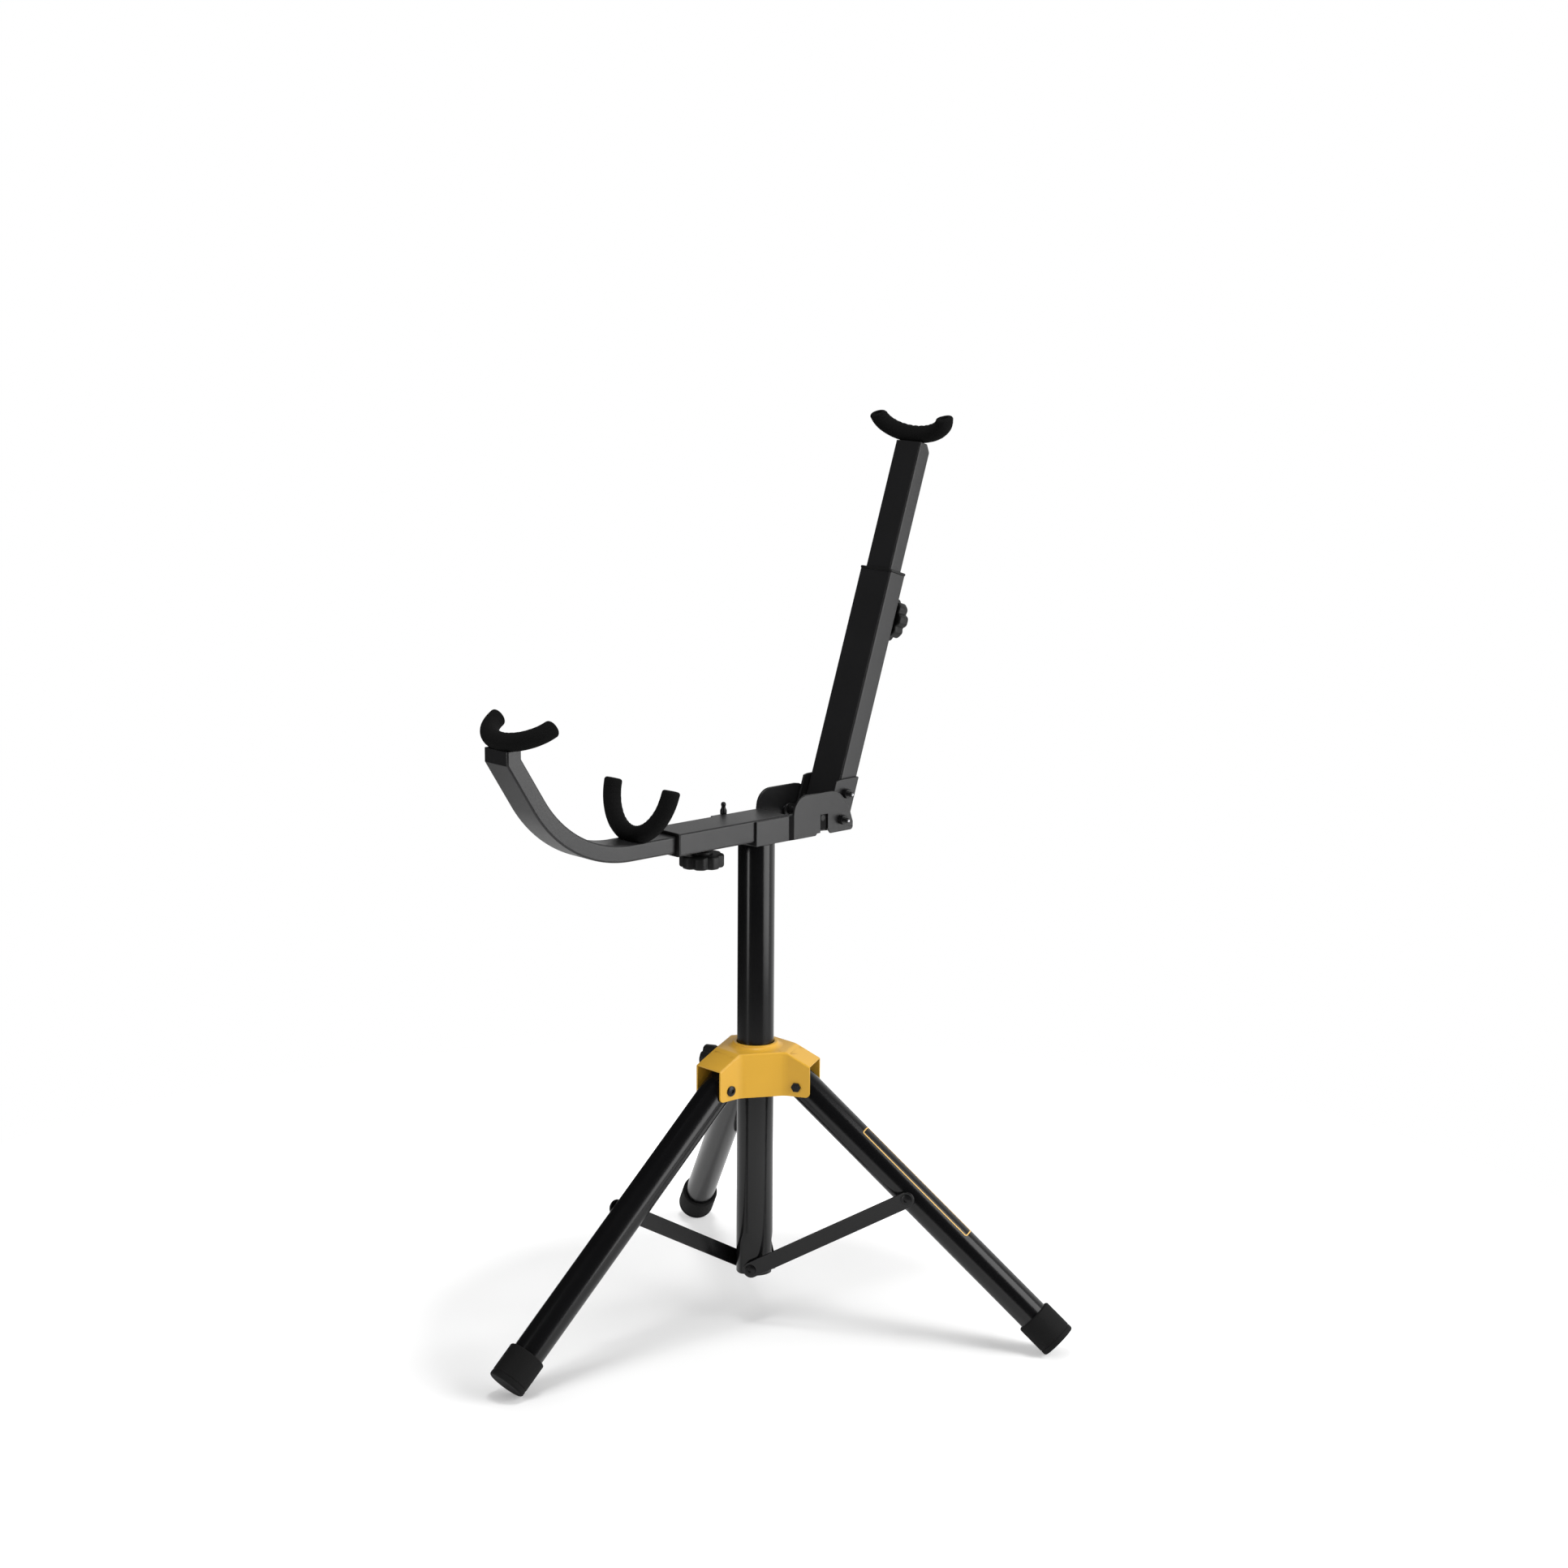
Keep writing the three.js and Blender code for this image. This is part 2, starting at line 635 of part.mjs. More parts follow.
/** The yellow hub: a pressed sheet cover with a round collar and a sleeve round the post. */
function hubShell() {
  const inner_top = hub_top - hub_sheet;
  const inner_fold = hub_fold_radius - hub_sheet * Math.tan(hub_face_angle / 2);
  const outside = hubForm(hub_outer_side, hub_fold_radius, hub_reach, hub_bottom, hub_top);
  const inside = hubForm(hub_inner_side, inner_fold, hub_reach + 2 * cut_overrun,
    hub_bottom - cut_overrun, inner_top);
  const bore_radius = hub_bushing_radius + hub_bushing_wall / 2;
  const sleeve_outer = hub_sleeve_radius + hub_sleeve_wall;
  const collar = turned([
    [0, inner_top], [sleeve_outer + hub_collar_flare, inner_top], [sleeve_outer + hub_collar_flare, hub_top],
    [sleeve_outer, hub_top + hub_collar_height / 2], [hub_sleeve_radius, hub_top + hub_collar_height],
    [0, hub_top + hub_collar_height],
  ], [0, 0, 0], [0, 0, 1], post_facets);
  const sleeve = bar(sleeve_outer, hub_bottom, hub_top, [0, 0, 0], [0, 0, 1], post_facets);
  const sleeve_bore = bar(hub_sleeve_radius, hub_bottom - cut_overrun, hub_top - hub_bushing_recess,
    [0, 0, 0], [0, 0, 1], post_facets);
  const mouth = bar(bore_radius, hub_bottom, hub_top + hub_collar_height + cut_overrun,
    [0, 0, 0], [0, 0, 1], post_facets);
  const body = join(cut(outside, inside), collar, sleeve);
  return piece('tripod_hub', cut(body, sleeve_bore, mouth, ...pivotHoles(), hubStudHole()), 'hub_yellow');
}

/** Holes for the three pivot bolts, across each leg. */
function pivotHoles() {
  return leg_azimuths_deg.map((azimuth) => {
    const [start, side] = braceAxis(azimuth, leg_pivot_radius, pivot_height);
    return bar(pivot_bolt_diameter / 2 + hole_gap, -2 * hub_outer_side, 2 * hub_outer_side,
      start, side, bolt_facets);
  });
}

/** The way of the hub knob's stud through the hub, its sleeve and its bushing. */
function hubStudHole() {
  const [start, direction] = hubKnobAxis();
  return bar(knob_stud_diameter / 2 + hole_gap, 0, 2 * hub_face_distance, start, direction, bolt_facets);
}

/** The start on the post's axis and the direction of the hub's clamp knob, on a face between two legs. */
function hubKnobAxis() {
  const direction = [Math.cos(hub_face_angle), -Math.sin(hub_face_angle), 0];
  return [[0, 0, pivot_height + hub_knob_rise], direction];
}

/** The plastic bushing between the hub's sleeve and the post. */
function hubBushing() {
  const top = hub_top - hub_bushing_recess - slide_gap;
  const outer = hub_bushing_radius + hub_bushing_wall;
  const ring = turned([
    [hub_bushing_radius, hub_bottom], [outer, hub_bottom], [outer, top],
    [hub_bushing_radius, top], [hub_bushing_radius, hub_bottom],
  ], [0, 0, 0], [0, 0, 1], post_facets);
  return piece('hub_bushing', cut(ring, hubStudHole()), 'plastic');
}

/** The leg pivot bolts and their round nuts. */
function pivotBolts() {
  const [shank, head] = [pivot_bolt_diameter / 2, pivot_head_diameter / 2];
  const face = hub_outer_side + slide_gap;
  const far = face + pivot_nut_height;
  return leg_azimuths_deg.flatMap((azimuth, i) => {
    const [start, side] = braceAxis(azimuth, leg_pivot_radius, pivot_height);
    const bolt = turned([
      [0, -face - pivot_head_height], [head, -face - pivot_head_height], [head, -face],
      [shank, -face], [shank, far], [0, far],
    ], start, side, bolt_facets);
    const nut = turned([
      [shank + hole_gap, face], [head, face], [head, far], [shank + hole_gap, far], [shank + hole_gap, face],
    ], start, side, bolt_facets);
    return [
      piece(`leg_pivot_bolt_${leg_names[i]}`, bolt, 'black_steel'),
      piece(`leg_pivot_nut_${leg_names[i]}`, nut, 'black_steel'),
    ];
  });
}

/** A threaded clamp nut along +Z from the face it is welded to. */
function clampNut() {
  const nut = hexagon(clamp_nut_across, 0, clamp_nut_height, [0, 0, 0], [0, 0, 1]);
  const thread = bar(knob_stud_diameter / 2 + hole_gap, -cut_overrun, clamp_nut_height + cut_overrun,
    [0, 0, 0], [0, 0, 1], bolt_facets);
  return cut(nut, thread);
}

/**
 * A lobed clamp knob and its steel stud along +Z, from the face that the clamp
 * nut sits on. reach is how far the stud goes in below that face.
 */
function clampKnob(name, reach) {
  const count = knob_lobes * knob_points_per_lobe;
  const rim = knob_diameter / 2 - knob_scallop;
  const corners = Array.from({ length: count }, (_, i) => {
    const angle = i * 2 * Math.PI / count;
    const radius = rim + knob_scallop * Math.cos(knob_lobes * angle);
    return [radius * Math.cos(angle), radius * Math.sin(angle)];
  });
  const head_geometry = new THREE.ExtrudeGeometry(outline(corners), {
    depth: knob_height - 2 * knob_bevel, bevelSize: knob_bevel, bevelThickness: knob_bevel,
    bevelOffset: -knob_bevel, bevelSegments: corner_steps,
  });
  const neck_start = clamp_nut_height + slide_gap;
  const head_start = neck_start + knob_neck_height;
  head_geometry.translate(0, 0, head_start + knob_bevel);
  const upright = [[0, 0, 0], [0, 0, 1]];
  const neck = bar(knob_neck_diameter / 2, neck_start, head_start + knob_bevel, ...upright, 2 * bolt_facets);
  const stud_end = neck_start + knob_stud_depth;
  const hole = bar(knob_stud_diameter / 2 + slide_gap, 0, stud_end + slide_gap, ...upright, bolt_facets);
  const stud = bar(knob_stud_diameter / 2, -reach, stud_end, ...upright, bolt_facets);
  return [
    piece(`${name}_knob`, cut(join(solid(head_geometry), neck), hole), 'plastic'),
    piece(`${name}_knob_stud`, stud, 'bright_steel'),
  ];
}

/** A knob with its nut, in a group whose +Z points away from the face at a place. */
function clampGroup(name, reach, place, direction) {
  const group = new THREE.Group();
  group.add(piece(`${name}_clamp_nut`, clampNut(), 'black_steel'), ...clampKnob(name, reach));
  group.position.set(...place);
  group.quaternion.setFromUnitVectors(new THREE.Vector3(0, 0, 1), new THREE.Vector3(...direction));
  return group;
}

/** The flat tube that holds the front arm, and its liner, both along +X. */
function socket() {
  const hole = bar(knob_stud_diameter / 2 + hole_gap, 0, outer_tube_height,
    [outer_tube_height / 2, 0, arm_knob_forward], [1, 0, 0], bolt_facets);
  const low_hole = bar(knob_stud_diameter / 2 + hole_gap, outer_tube_wall, outer_tube_height,
    [0, 0, arm_knob_forward], [1, 0, 0], bolt_facets);
  const tube = rectangularTube(outer_tube_width, outer_tube_height, outer_tube_wall, tube_corner_radius,
    -socket_back, socket_front);
  const group = new THREE.Group();
  group.add(piece('socket_tube', cut(tube, hole, low_hole), 'textured_black'));
  group.add(piece('socket_liner', cut(mouthLiner(socket_front), low_hole), 'plastic'));
  group.position.z = socket_middle;
  group.rotation.y = Math.PI / 2;
  return group;
}

/** The side view of the hinge bracket's cheeks, with its stop notch. */
function cheekOutline() {
  const bottom = post_top_height;
  const cheek_bottom = bottom + cheek_lift;
  const flank_top = socket_top - bracket_edge_drop;
  const top = socket_top + cheek_rise;
  const jog_end = -socket_back - bracket_jog_length;
  const notch_front = stop_pin_x + notch_width / 2;
  const notch_back = stop_pin_x - notch_width / 2;
  const notch_top = stop_pin_z + stop_pin_diameter / 2 + slide_gap;
  const relief = cheek_bottom + cheek_relief_height;
  const relief_start = notch_front + cheek_relief_length;
  const shape = new THREE.Shape();
  shape.moveTo(bracket_front, bottom);
  shape.lineTo(bracket_front, flank_top);
  shape.lineTo(-socket_back, flank_top);
  shape.absarc(jog_end - cheek_front_radius, top - cheek_front_radius, cheek_front_radius, 0, Math.PI / 2);
  shape.lineTo(-cheek_back + cheek_back_curve, top);
  shape.quadraticCurveTo(-cheek_back + cheek_back_pull, top, -cheek_back, top - cheek_back_drop);
  shape.absarc(-cheek_back + cheek_foot_radius, cheek_bottom + cheek_foot_radius, cheek_foot_radius,
    Math.PI, 1.5 * Math.PI);
  shape.lineTo(notch_back - notch_chamfer_width, cheek_bottom);
  shape.lineTo(notch_back, cheek_bottom + notch_chamfer_height);
  shape.lineTo(notch_back, notch_top);
  shape.lineTo(notch_front, notch_top);
  shape.lineTo(notch_front, relief);
  shape.lineTo(relief_start, relief);
  shape.lineTo(relief_start + cheek_relief_height, cheek_bottom);
  shape.lineTo(jog_end, cheek_bottom);
  shape.lineTo(-socket_back, bottom);
  shape.closePath();
  return shape;
}

/** The hinge bracket: a floor under the socket tube, and two sides that jog out into round cheeks. */
function hingeBracket() {
  const jog_start = -socket_back;
  const jog_end = jog_start - bracket_jog_length;
  const shared = [
    [bracket_front, flank_inside], [jog_start, flank_inside], [jog_end, cheek_inside],
    [-cheek_back, cheek_inside], [-cheek_back, cheek_outside], [jog_end, cheek_outside],
    [jog_start, flank_outside], [bracket_front, flank_outside],
  ];
  const height = cheek_rise + outer_tube_height + bracket_floor;
  const side = (sign) => {
    const plan = outline(shared.map(([x, y]) => [x, sign * y]));
    const geometry = new THREE.ExtrudeGeometry(plan, { depth: height, bevelEnabled: false });
    geometry.translate(0, 0, post_top_height);
    return solid(geometry).intersect(acrossY(cheekOutline(), -2 * cheek_outside, 2 * cheek_outside, 0));
  };
  const floor = block([jog_start, -flank_outside, post_top_height],
    [bracket_front, flank_outside, socket_bottom]);
  const hole = bar(hinge_bolt_diameter / 2 + hole_gap, -2 * cheek_outside, 2 * cheek_outside,
    [pivot_x, 0, pivot_z], [0, 1, 0], bolt_facets);
  return piece('hinge_bracket', cut(join(side(1), side(-1), floor), hole), 'textured_black');
}

/** A bolt across Y with a hexagonal head on the -Y side, and its nut on the +Y side. */
function crossBolt(name, grip, x, z) {
  const radius = hinge_bolt_diameter / 2;
  const far = grip + slide_gap + hinge_nut_height;
  const head = hexagon(hinge_nut_across, -grip - slide_gap - hinge_head_height, -grip - slide_gap,
    [x, 0, z], [0, 1, 0]);
  const shank = bar(radius, -grip - slide_gap - hinge_head_height / 2, far + hinge_bolt_tip,
    [x, 0, z], [0, 1, 0], bolt_facets);
  const nut = hexagon(hinge_nut_across, grip + slide_gap, far, [x, 0, z], [0, 1, 0]);
  const thread = bar(radius + hole_gap, 0, far + cut_overrun, [x, 0, z], [0, 1, 0], bolt_facets);
  return [
    piece(`${name}_bolt`, join(head, shank), 'black_steel'),
    piece(`${name}_nut`, cut(nut, thread), 'black_steel'),
  ];
}

/** The small lug on the far side of the socket tube, and the domed stud that stands in it. */
function sideStud() {
  const wall = -flank_outside;
  const back = bracket_front - lug_setback;
  const lug_top = socket_top - lug_depth_below_top;
  const x = back + stud_edge_distance;
  const y = wall - slide_gap - stud_edge_distance;
  const lug = block([back, wall - slide_gap - lug_width, lug_top - lug_thickness],
    [back + lug_length, wall - slide_gap, lug_top]);
  const hole = bar(stud_neck_diameter / 2 + hole_gap, -lug_width, lug_width,
    [x, y, lug_top], [0, 0, 1], bolt_facets);
  const radius = stud_diameter / 2;
  const neck = stud_neck_diameter / 2;
  const body_top = stud_height - stud_dome_height;
  const tail_top = -lug_thickness - slide_gap;
  const tail_bottom = tail_top - rivet_tail_height;
  const stud = turned([
    [0, tail_bottom], [radius, tail_bottom], [radius, tail_top], [neck, tail_top], [neck, slide_gap],
    [radius, slide_gap], [radius, body_top / 2], [neck, body_top], [neck, stud_height - neck],
    [neck / 2, stud_height], [0, stud_height],
  ], [x, y, lug_top], [0, 0, 1], bolt_facets);
  return [piece('side_lug', cut(lug, hole), 'textured_black'), piece('side_stud', stud, 'black_steel')];
}

/** The front arm's side view, for a tube of half a height, between its tail and its end. */
function armOutline(half, tail, end_length) {
  const rise = arm_rise_deg * degree;
  const centre = [arm_bend_start, socket_middle + arm_bend_radius];
  const bend_end = [
    arm_bend_start + arm_bend_radius * Math.sin(rise),
    socket_middle + arm_bend_radius * (1 - Math.cos(rise)),
  ];
  const knee = [
    bend_end[0] + arm_slant_length * Math.cos(rise),
    bend_end[1] + arm_slant_length * Math.sin(rise),
  ];
  const half_turn = (Math.PI / 2 - rise) / 2;
  const mitre = half / Math.cos(half_turn);
  const mitre_x = mitre * Math.cos(half_turn);
  const mitre_z = -mitre * Math.sin(half_turn);
  const top = knee[1] + end_length;
  const shape = new THREE.Shape();
  shape.moveTo(tail, socket_middle - half);
  shape.absarc(...centre, arm_bend_radius + half, -Math.PI / 2, -Math.PI / 2 + rise);
  shape.lineTo(knee[0] + mitre_x, knee[1] + mitre_z);
  shape.lineTo(knee[0] + half, top);
  shape.lineTo(knee[0] - half, top);
  shape.lineTo(knee[0] - mitre_x, knee[1] - mitre_z);
  shape.absarc(...centre, arm_bend_radius - half, -Math.PI / 2 + rise, -Math.PI / 2, true);
  shape.lineTo(tail, socket_middle + half);
  shape.closePath();
  return { shape, end: [knee[0], top] };
}

/** The front arm with its tail plug and its two padded cradles. */
function frontArm() {
  const half_width = inner_tube_width / 2;
  const half = inner_tube_height / 2;
  const tail = -arm_tail_back;
  const outside = armOutline(half, tail, arm_end_length);
  const hollow = armOutline(half - inner_tube_wall, tail - 2 * cut_overrun, arm_end_length - tube_end_plate);
  const void_half_width = half_width - inner_tube_wall;
  const tube = cut(acrossY(outside.shape, -half_width, half_width, tube_corner_radius),
    acrossY(hollow.shape, -void_half_width, void_half_width, 0));
  const plug = new THREE.Group();
  plug.add(piece('front_arm_plug', tubePlug(0), 'plastic'));
  plug.position.set(tail - slide_gap, 0, socket_middle);
  plug.rotation.y = Math.PI / 2;

  const seat = (depth) => block([-inner_tube_height, -half_width - slide_gap, -depth],
    [inner_tube_height, half_width + slide_gap, slide_gap]);
  const front = new THREE.Group();
  front.add(...yoke('front', front_yoke_half_width, front_yoke_depth,
    front_yoke_stand, front_yoke_tilt_deg, seat(foam_diameter)));
  front.position.set(outside.end[0] + front_yoke_forward, 0, outside.end[1]);
  const middle = new THREE.Group();
  middle.add(...yoke('middle', middle_yoke_half_width, middle_yoke_depth,
    middle_yoke_stand, middle_yoke_tilt_deg, seat(foam_diameter)));
  middle.position.set(socket_front + middle_yoke_forward, 0, arm_top);

  const group = new THREE.Group();
  group.add(piece('front_arm', tube, 'textured_black'), plug, front, middle);
  return group;
}

/** The side view of the backrest's clevis plates, with X forward and Z along the tube. */
function earOutline() {
  const waist = ear_lobe_radius - stop_pin_drop;
  const shape = new THREE.Shape();
  shape.absarc(0, 0, ear_heel_radius, Math.PI, 1.5 * Math.PI);
  shape.absarc(ear_lobe_low_forward, -ear_lobe_low_drop, ear_lobe_radius, -Math.PI / 2, 0);
  shape.absarc(stop_pin_forward, -stop_pin_drop, ear_lobe_radius, 0, Math.PI / 2);
  shape.lineTo(ear_front, waist);
  shape.lineTo(ear_front, ear_front_height - ear_corner_drop);
  shape.lineTo(ear_front - ear_corner_width, ear_front_height);
  shape.lineTo(-ear_back + ear_back_corner, ear_back_height);
  shape.lineTo(-ear_back, ear_back_height - ear_back_corner);
  shape.lineTo(-ear_back, ear_heel_height);
  shape.closePath();
  return shape;
}

/**
 * The clevis, held by the bracket's bolt and by its pin in the bracket's notches, and
 * the lower backrest, which folds forward on the clevis bolt and leans back on the web.
 */
function lowerBackrest() {
  const cross_hole = (radius, x, z) => bar(radius + hole_gap, -2 * cheek_outside, 2 * cheek_outside,
    [x, 0, z], [0, 1, 0], bolt_facets);
  const pivot_hole = cross_hole(hinge_bolt_diameter / 2, 0, 0);
  const bolt_hole = cross_hole(hinge_bolt_diameter / 2, -backrest_bolt_back, backrest_bolt_along);
  const pin_hole = cross_hole(stop_pin_diameter / 2, stop_pin_forward, -stop_pin_drop);
  const ears = [[-ear_outside, -ear_inside], [ear_inside, ear_outside]].map(([from, to]) => (
    cut(acrossY(earOutline(), from, to, 0), pivot_hole, bolt_hole, pin_hole)));
  const web_back = backrest_face_offset + slide_gap;
  const web = block([web_back, -ear_outside, ear_web_start],
    [web_back + ear_plate, ear_outside, ear_web_start + ear_web_height]);
  const pin = bar(stop_pin_diameter / 2, -cheek_outside, cheek_outside,
    [stop_pin_forward, 0, -stop_pin_drop], [0, 1, 0], bolt_facets);

  const stud_hole = bar(knob_stud_diameter / 2 + hole_gap, 0, outer_tube_height,
    [0, 0, backrest_knob_along], [-1, 0, 0], bolt_facets);
  const tube = rectangularTube(outer_tube_width, outer_tube_height, outer_tube_wall, tube_corner_radius,
    backrest_tube_start, backrest_tube_end);
  const tube_bolt_hole = cross_hole(hinge_bolt_diameter / 2, -backrest_bolt_back - backrest_middle,
    backrest_bolt_along);
  const liner = cut(mouthLiner(backrest_tube_end), stud_hole);
  const tube_group = new THREE.Group();
  tube_group.add(piece('backrest_outer_tube', cut(tube, tube_bolt_hole, stud_hole), 'textured_black'));
  tube_group.add(piece('backrest_liner', liner, 'plastic'));
  tube_group.position.x = backrest_middle;

  const back_face = [backrest_middle - outer_tube_height / 2, 0, backrest_knob_along];
  const stud_reach = (outer_tube_height - inner_tube_height) / 2 - slide_gap;
  const group = new THREE.Group();
  group.add(piece('backrest_clevis', join(...ears, web), 'textured_black'));
  group.add(piece('stop_pin', pin, 'black_steel'));
  group.add(...crossBolt('clevis', ear_outside, -backrest_bolt_back, backrest_bolt_along));
  group.add(tube_group, clampGroup('backrest', stud_reach, back_face, [-1, 0, 0]));
  return group;
}

/** The upper backrest: inner tube with a bevelled top, its lower plug and the padded yoke. */
function upperBackrest() {
  const half = inner_tube_height / 2;
  const half_width = inner_tube_width / 2;
  const end = backrest_inner_end;
  const chamfer_slope = backrest_chamfer_along / backrest_chamfer_depth;
  const bevel_cut = (drop) => {
    const front = -half + backrest_chamfer_depth;
    const back = -half - cut_overrun;
    return acrossY(outline([
      [front, end - drop], [front, end + cut_overrun], [back, end + cut_overrun],
      [back, end - drop - (front - back) * chamfer_slope],
    ]), -inner_tube_width, inner_tube_width, 0);
  };
  const bar_outside = rectangularBar(inner_tube_width, inner_tube_height, tube_corner_radius,
    backrest_inner_start, end);
  const bar_inside = rectangularBar(inner_tube_width - 2 * inner_tube_wall,
    inner_tube_height - 2 * inner_tube_wall, tube_corner_radius / 2,
    backrest_inner_start - cut_overrun, end - tube_end_plate);
  const shell = cut(bar_outside, bevel_cut(0));
  const hollow = cut(bar_inside, bevel_cut(2 * tube_end_plate));
  const top = new THREE.Group();
  const seat = block([-inner_tube_height, -half_width - slide_gap, -foam_diameter],
    [inner_tube_height, half_width + slide_gap, slide_gap]);
  top.add(...yoke('top', top_yoke_half_width, top_yoke_depth,
    top_yoke_stand, top_yoke_tilt_deg + lean_deg, seat));
  top.position.set(top_yoke_forward, 0, end);
  const plug = new THREE.Group();
  plug.add(piece('backrest_plug', tubePlug(0), 'plastic'));
  plug.position.z = backrest_inner_start - slide_gap;
  const group = new THREE.Group();
  group.add(piece('backrest_inner_tube', cut(shell, hollow), 'textured_black'), plug, top);
  group.position.x = backrest_middle;
  return group;
}

/** The whole backrest, leaning back from the bracket's bolt. */
function backrest() {
  const group = new THREE.Group();
  group.add(lowerBackrest(), upperBackrest());
  group.position.set(pivot_x, 0, pivot_z);
  group.rotation.y = -lean;
  return group;
}

/** The tripod: post, hub, legs and braces. */
function tripod() {
  const [knob_start, knob_direction] = hubKnobAxis();
  const face = knob_start.map((value, axis) => value + hub_face_distance * knob_direction[axis]);
  const reach = hub_face_distance - post_radius - slide_gap;
  const group = new THREE.Group();
  group.add(centrePost(), ...innerRivets(), hubShell(), hubBushing(), ...pivotBolts());
  group.add(clampGroup('hub', reach, face, knob_direction));
  leg_azimuths_deg.forEach((azimuth, i) => {
    group.add(leg(leg_names[i], azimuth), brace(leg_names[i], azimuth));
  });
  return group;
}

/** The head on top of the post: bracket, socket, hinge bolt, side stud and arm clamp. */
function head() {
  const stud_reach = (outer_tube_height - inner_tube_height) / 2 - slide_gap;
  const group = new THREE.Group();
  group.add(hingeBracket(), socket(), ...crossBolt('hinge', cheek_outside, pivot_x, pivot_z));
  group.add(...sideStud());
  group.add(clampGroup('arm', stud_reach, [arm_knob_forward, 0, socket_bottom], [0, 0, -1]));
  return group;
}

/** Moves the stand so that its origin lies on the floor, midway along its length. */
function centred(group) {
  const outer = new THREE.Group();
  outer.add(group);
  outer.updateMatrixWorld(true);
  const box = new THREE.Box3().setFromObject(group, true);
  group.position.x = -(box.min.x + box.max.x) / 2;
  return outer;
}

const stand = new THREE.Group();
stand.add(tripod(), head(), frontArm(), backrest());

export default centred(stand);
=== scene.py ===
"""Looks for a folding tuba stand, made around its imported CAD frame.

The file is laid out as a Blender add-on: sizes, finishes and lamps are
properties, each group of pieces has an operator, and main() calls them in turn.
Lengths are metres in the frame of the CAD model.
"""

import json
import math
from collections import namedtuple

import bmesh
import bpy
from mathutils import Matrix, Vector, noise


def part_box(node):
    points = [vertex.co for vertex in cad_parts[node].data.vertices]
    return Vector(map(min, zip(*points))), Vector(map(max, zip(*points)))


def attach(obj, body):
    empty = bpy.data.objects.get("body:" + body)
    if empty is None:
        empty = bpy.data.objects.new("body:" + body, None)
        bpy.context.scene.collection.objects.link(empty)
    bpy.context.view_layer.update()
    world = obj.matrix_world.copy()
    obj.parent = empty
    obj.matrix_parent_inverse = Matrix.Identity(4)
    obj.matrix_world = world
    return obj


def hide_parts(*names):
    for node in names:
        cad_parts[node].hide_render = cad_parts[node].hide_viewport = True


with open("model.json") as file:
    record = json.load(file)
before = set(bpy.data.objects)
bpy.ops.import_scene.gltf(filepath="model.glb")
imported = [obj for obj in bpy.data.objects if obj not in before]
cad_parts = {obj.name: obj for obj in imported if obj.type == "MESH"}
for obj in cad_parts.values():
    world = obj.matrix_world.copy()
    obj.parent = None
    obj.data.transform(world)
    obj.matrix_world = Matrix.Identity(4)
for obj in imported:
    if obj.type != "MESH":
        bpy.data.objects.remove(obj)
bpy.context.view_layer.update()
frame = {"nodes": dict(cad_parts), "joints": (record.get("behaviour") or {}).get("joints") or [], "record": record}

bl_info = {
    "name": "Tuba Stand Looks",
    "version": (1, 0, 0),
    "blender": (4, 5, 0),
    "location": "View3D > Sidebar > Tuba Stand",
    "description": "Dresses the packed tuba stand with detailed pieces, finishes and a studio",
    "category": "Object",
}

SIDES = ("front", "left", "right")
JOINTS = {joint["name"]: joint for joint in frame["joints"]}
PAINTS = {row["slot"]: row["base_color"] for row in frame["record"]["materials"]}

# How finely the shapes are made
ROUND_STEPS = 72
FOAM_STEPS = 36
FOAM_STATIONS = 150
BEND_STEPS = 48
CORNER_STEPS = 5
KNOB_STEPS_PER_LOBE = 14
TRIM_STEPS = 12
SMALL_STEPS = ROUND_STEPS // 3
HEAD_SIDES = 40
SHANK_SIDES = 20
BEAD_SIDES = 16
BALL_STEPS = {"Segments": 32, "Rings": 24}
RIPPLE_STEPS = 8.0
HEXAGON = 6
SHARP_ANGLE = math.radians(32)
FLAT_ANGLE = math.radians(1.0)
MERGE_DISTANCE = 2e-6
KEY_DIGITS = 6

FORWARD = Vector((1, 0, 0))
SIDEWAYS = Vector((0, 1, 0))
UP = Vector((0, 0, 1))
ALONG_X = Matrix.Rotation(math.pi / 2, 4, "Y")

# Rings that keep a foot's sole flat, as shares of its radius
SOLE_RINGS = (0.8, 0.72, 0.6, 0.4)
# The groove round a foot: metres deep, and metres past the end of the leg's tube
FOOT_GROOVE = ((0.0, -0.0016), (0.0005, -0.001), (0.0005, -0.0004), (0.0, 0.0002))
# A foot's mouth: metres deep and metres wider than the leg
FOOT_MOUTH = (0.0004, 0.0006)
# The hub's collar, from its foot to its lip: shares of its width and of its height
COLLAR_FLARE = ((1.0, 0.0), (0.66, 0.08), (0.36, 0.22), (0.12, 0.44), (0.0, 0.66))
# The stud, from below: shares of its radius and of its height
STUD_OUTLINE = (
    (0.7, 0), (1, 0.02), (1, 0.1), (0.62, 0.12), (0.62, 0.29), (1, 0.31), (1, 0.52), (0.9, 0.58),
    (0.66, 0.66), (0.62, 0.75), (0.74, 0.81), (0.76, 0.88), (0.62, 0.95), (0.36, 0.99), (0.12, 1))
# A hollow foam end, from its middle: shares of the dimple's radius and of its depth
DIMPLE_OUTLINE = ((0.9, 1.0), (1.0, 0.4), (1.12, 0.0))
FOAM_UNEVEN_SCALE = 90.0
# A knob's neck where it meets the lobes: metres out and metres up
NECK_FILLET = ((0.0, -0.0006), (0.0008, 0.0))
# A knob's underside and face: roundings in from the rim, dishes down and share of the grooves
KNOB_UNDERSIDE = (3, 0.4)
KNOB_FACE = ((2.6, 0.0, 0.75), (3.2, 0.3, 0.5), (3.9, 1.0, 0.25))
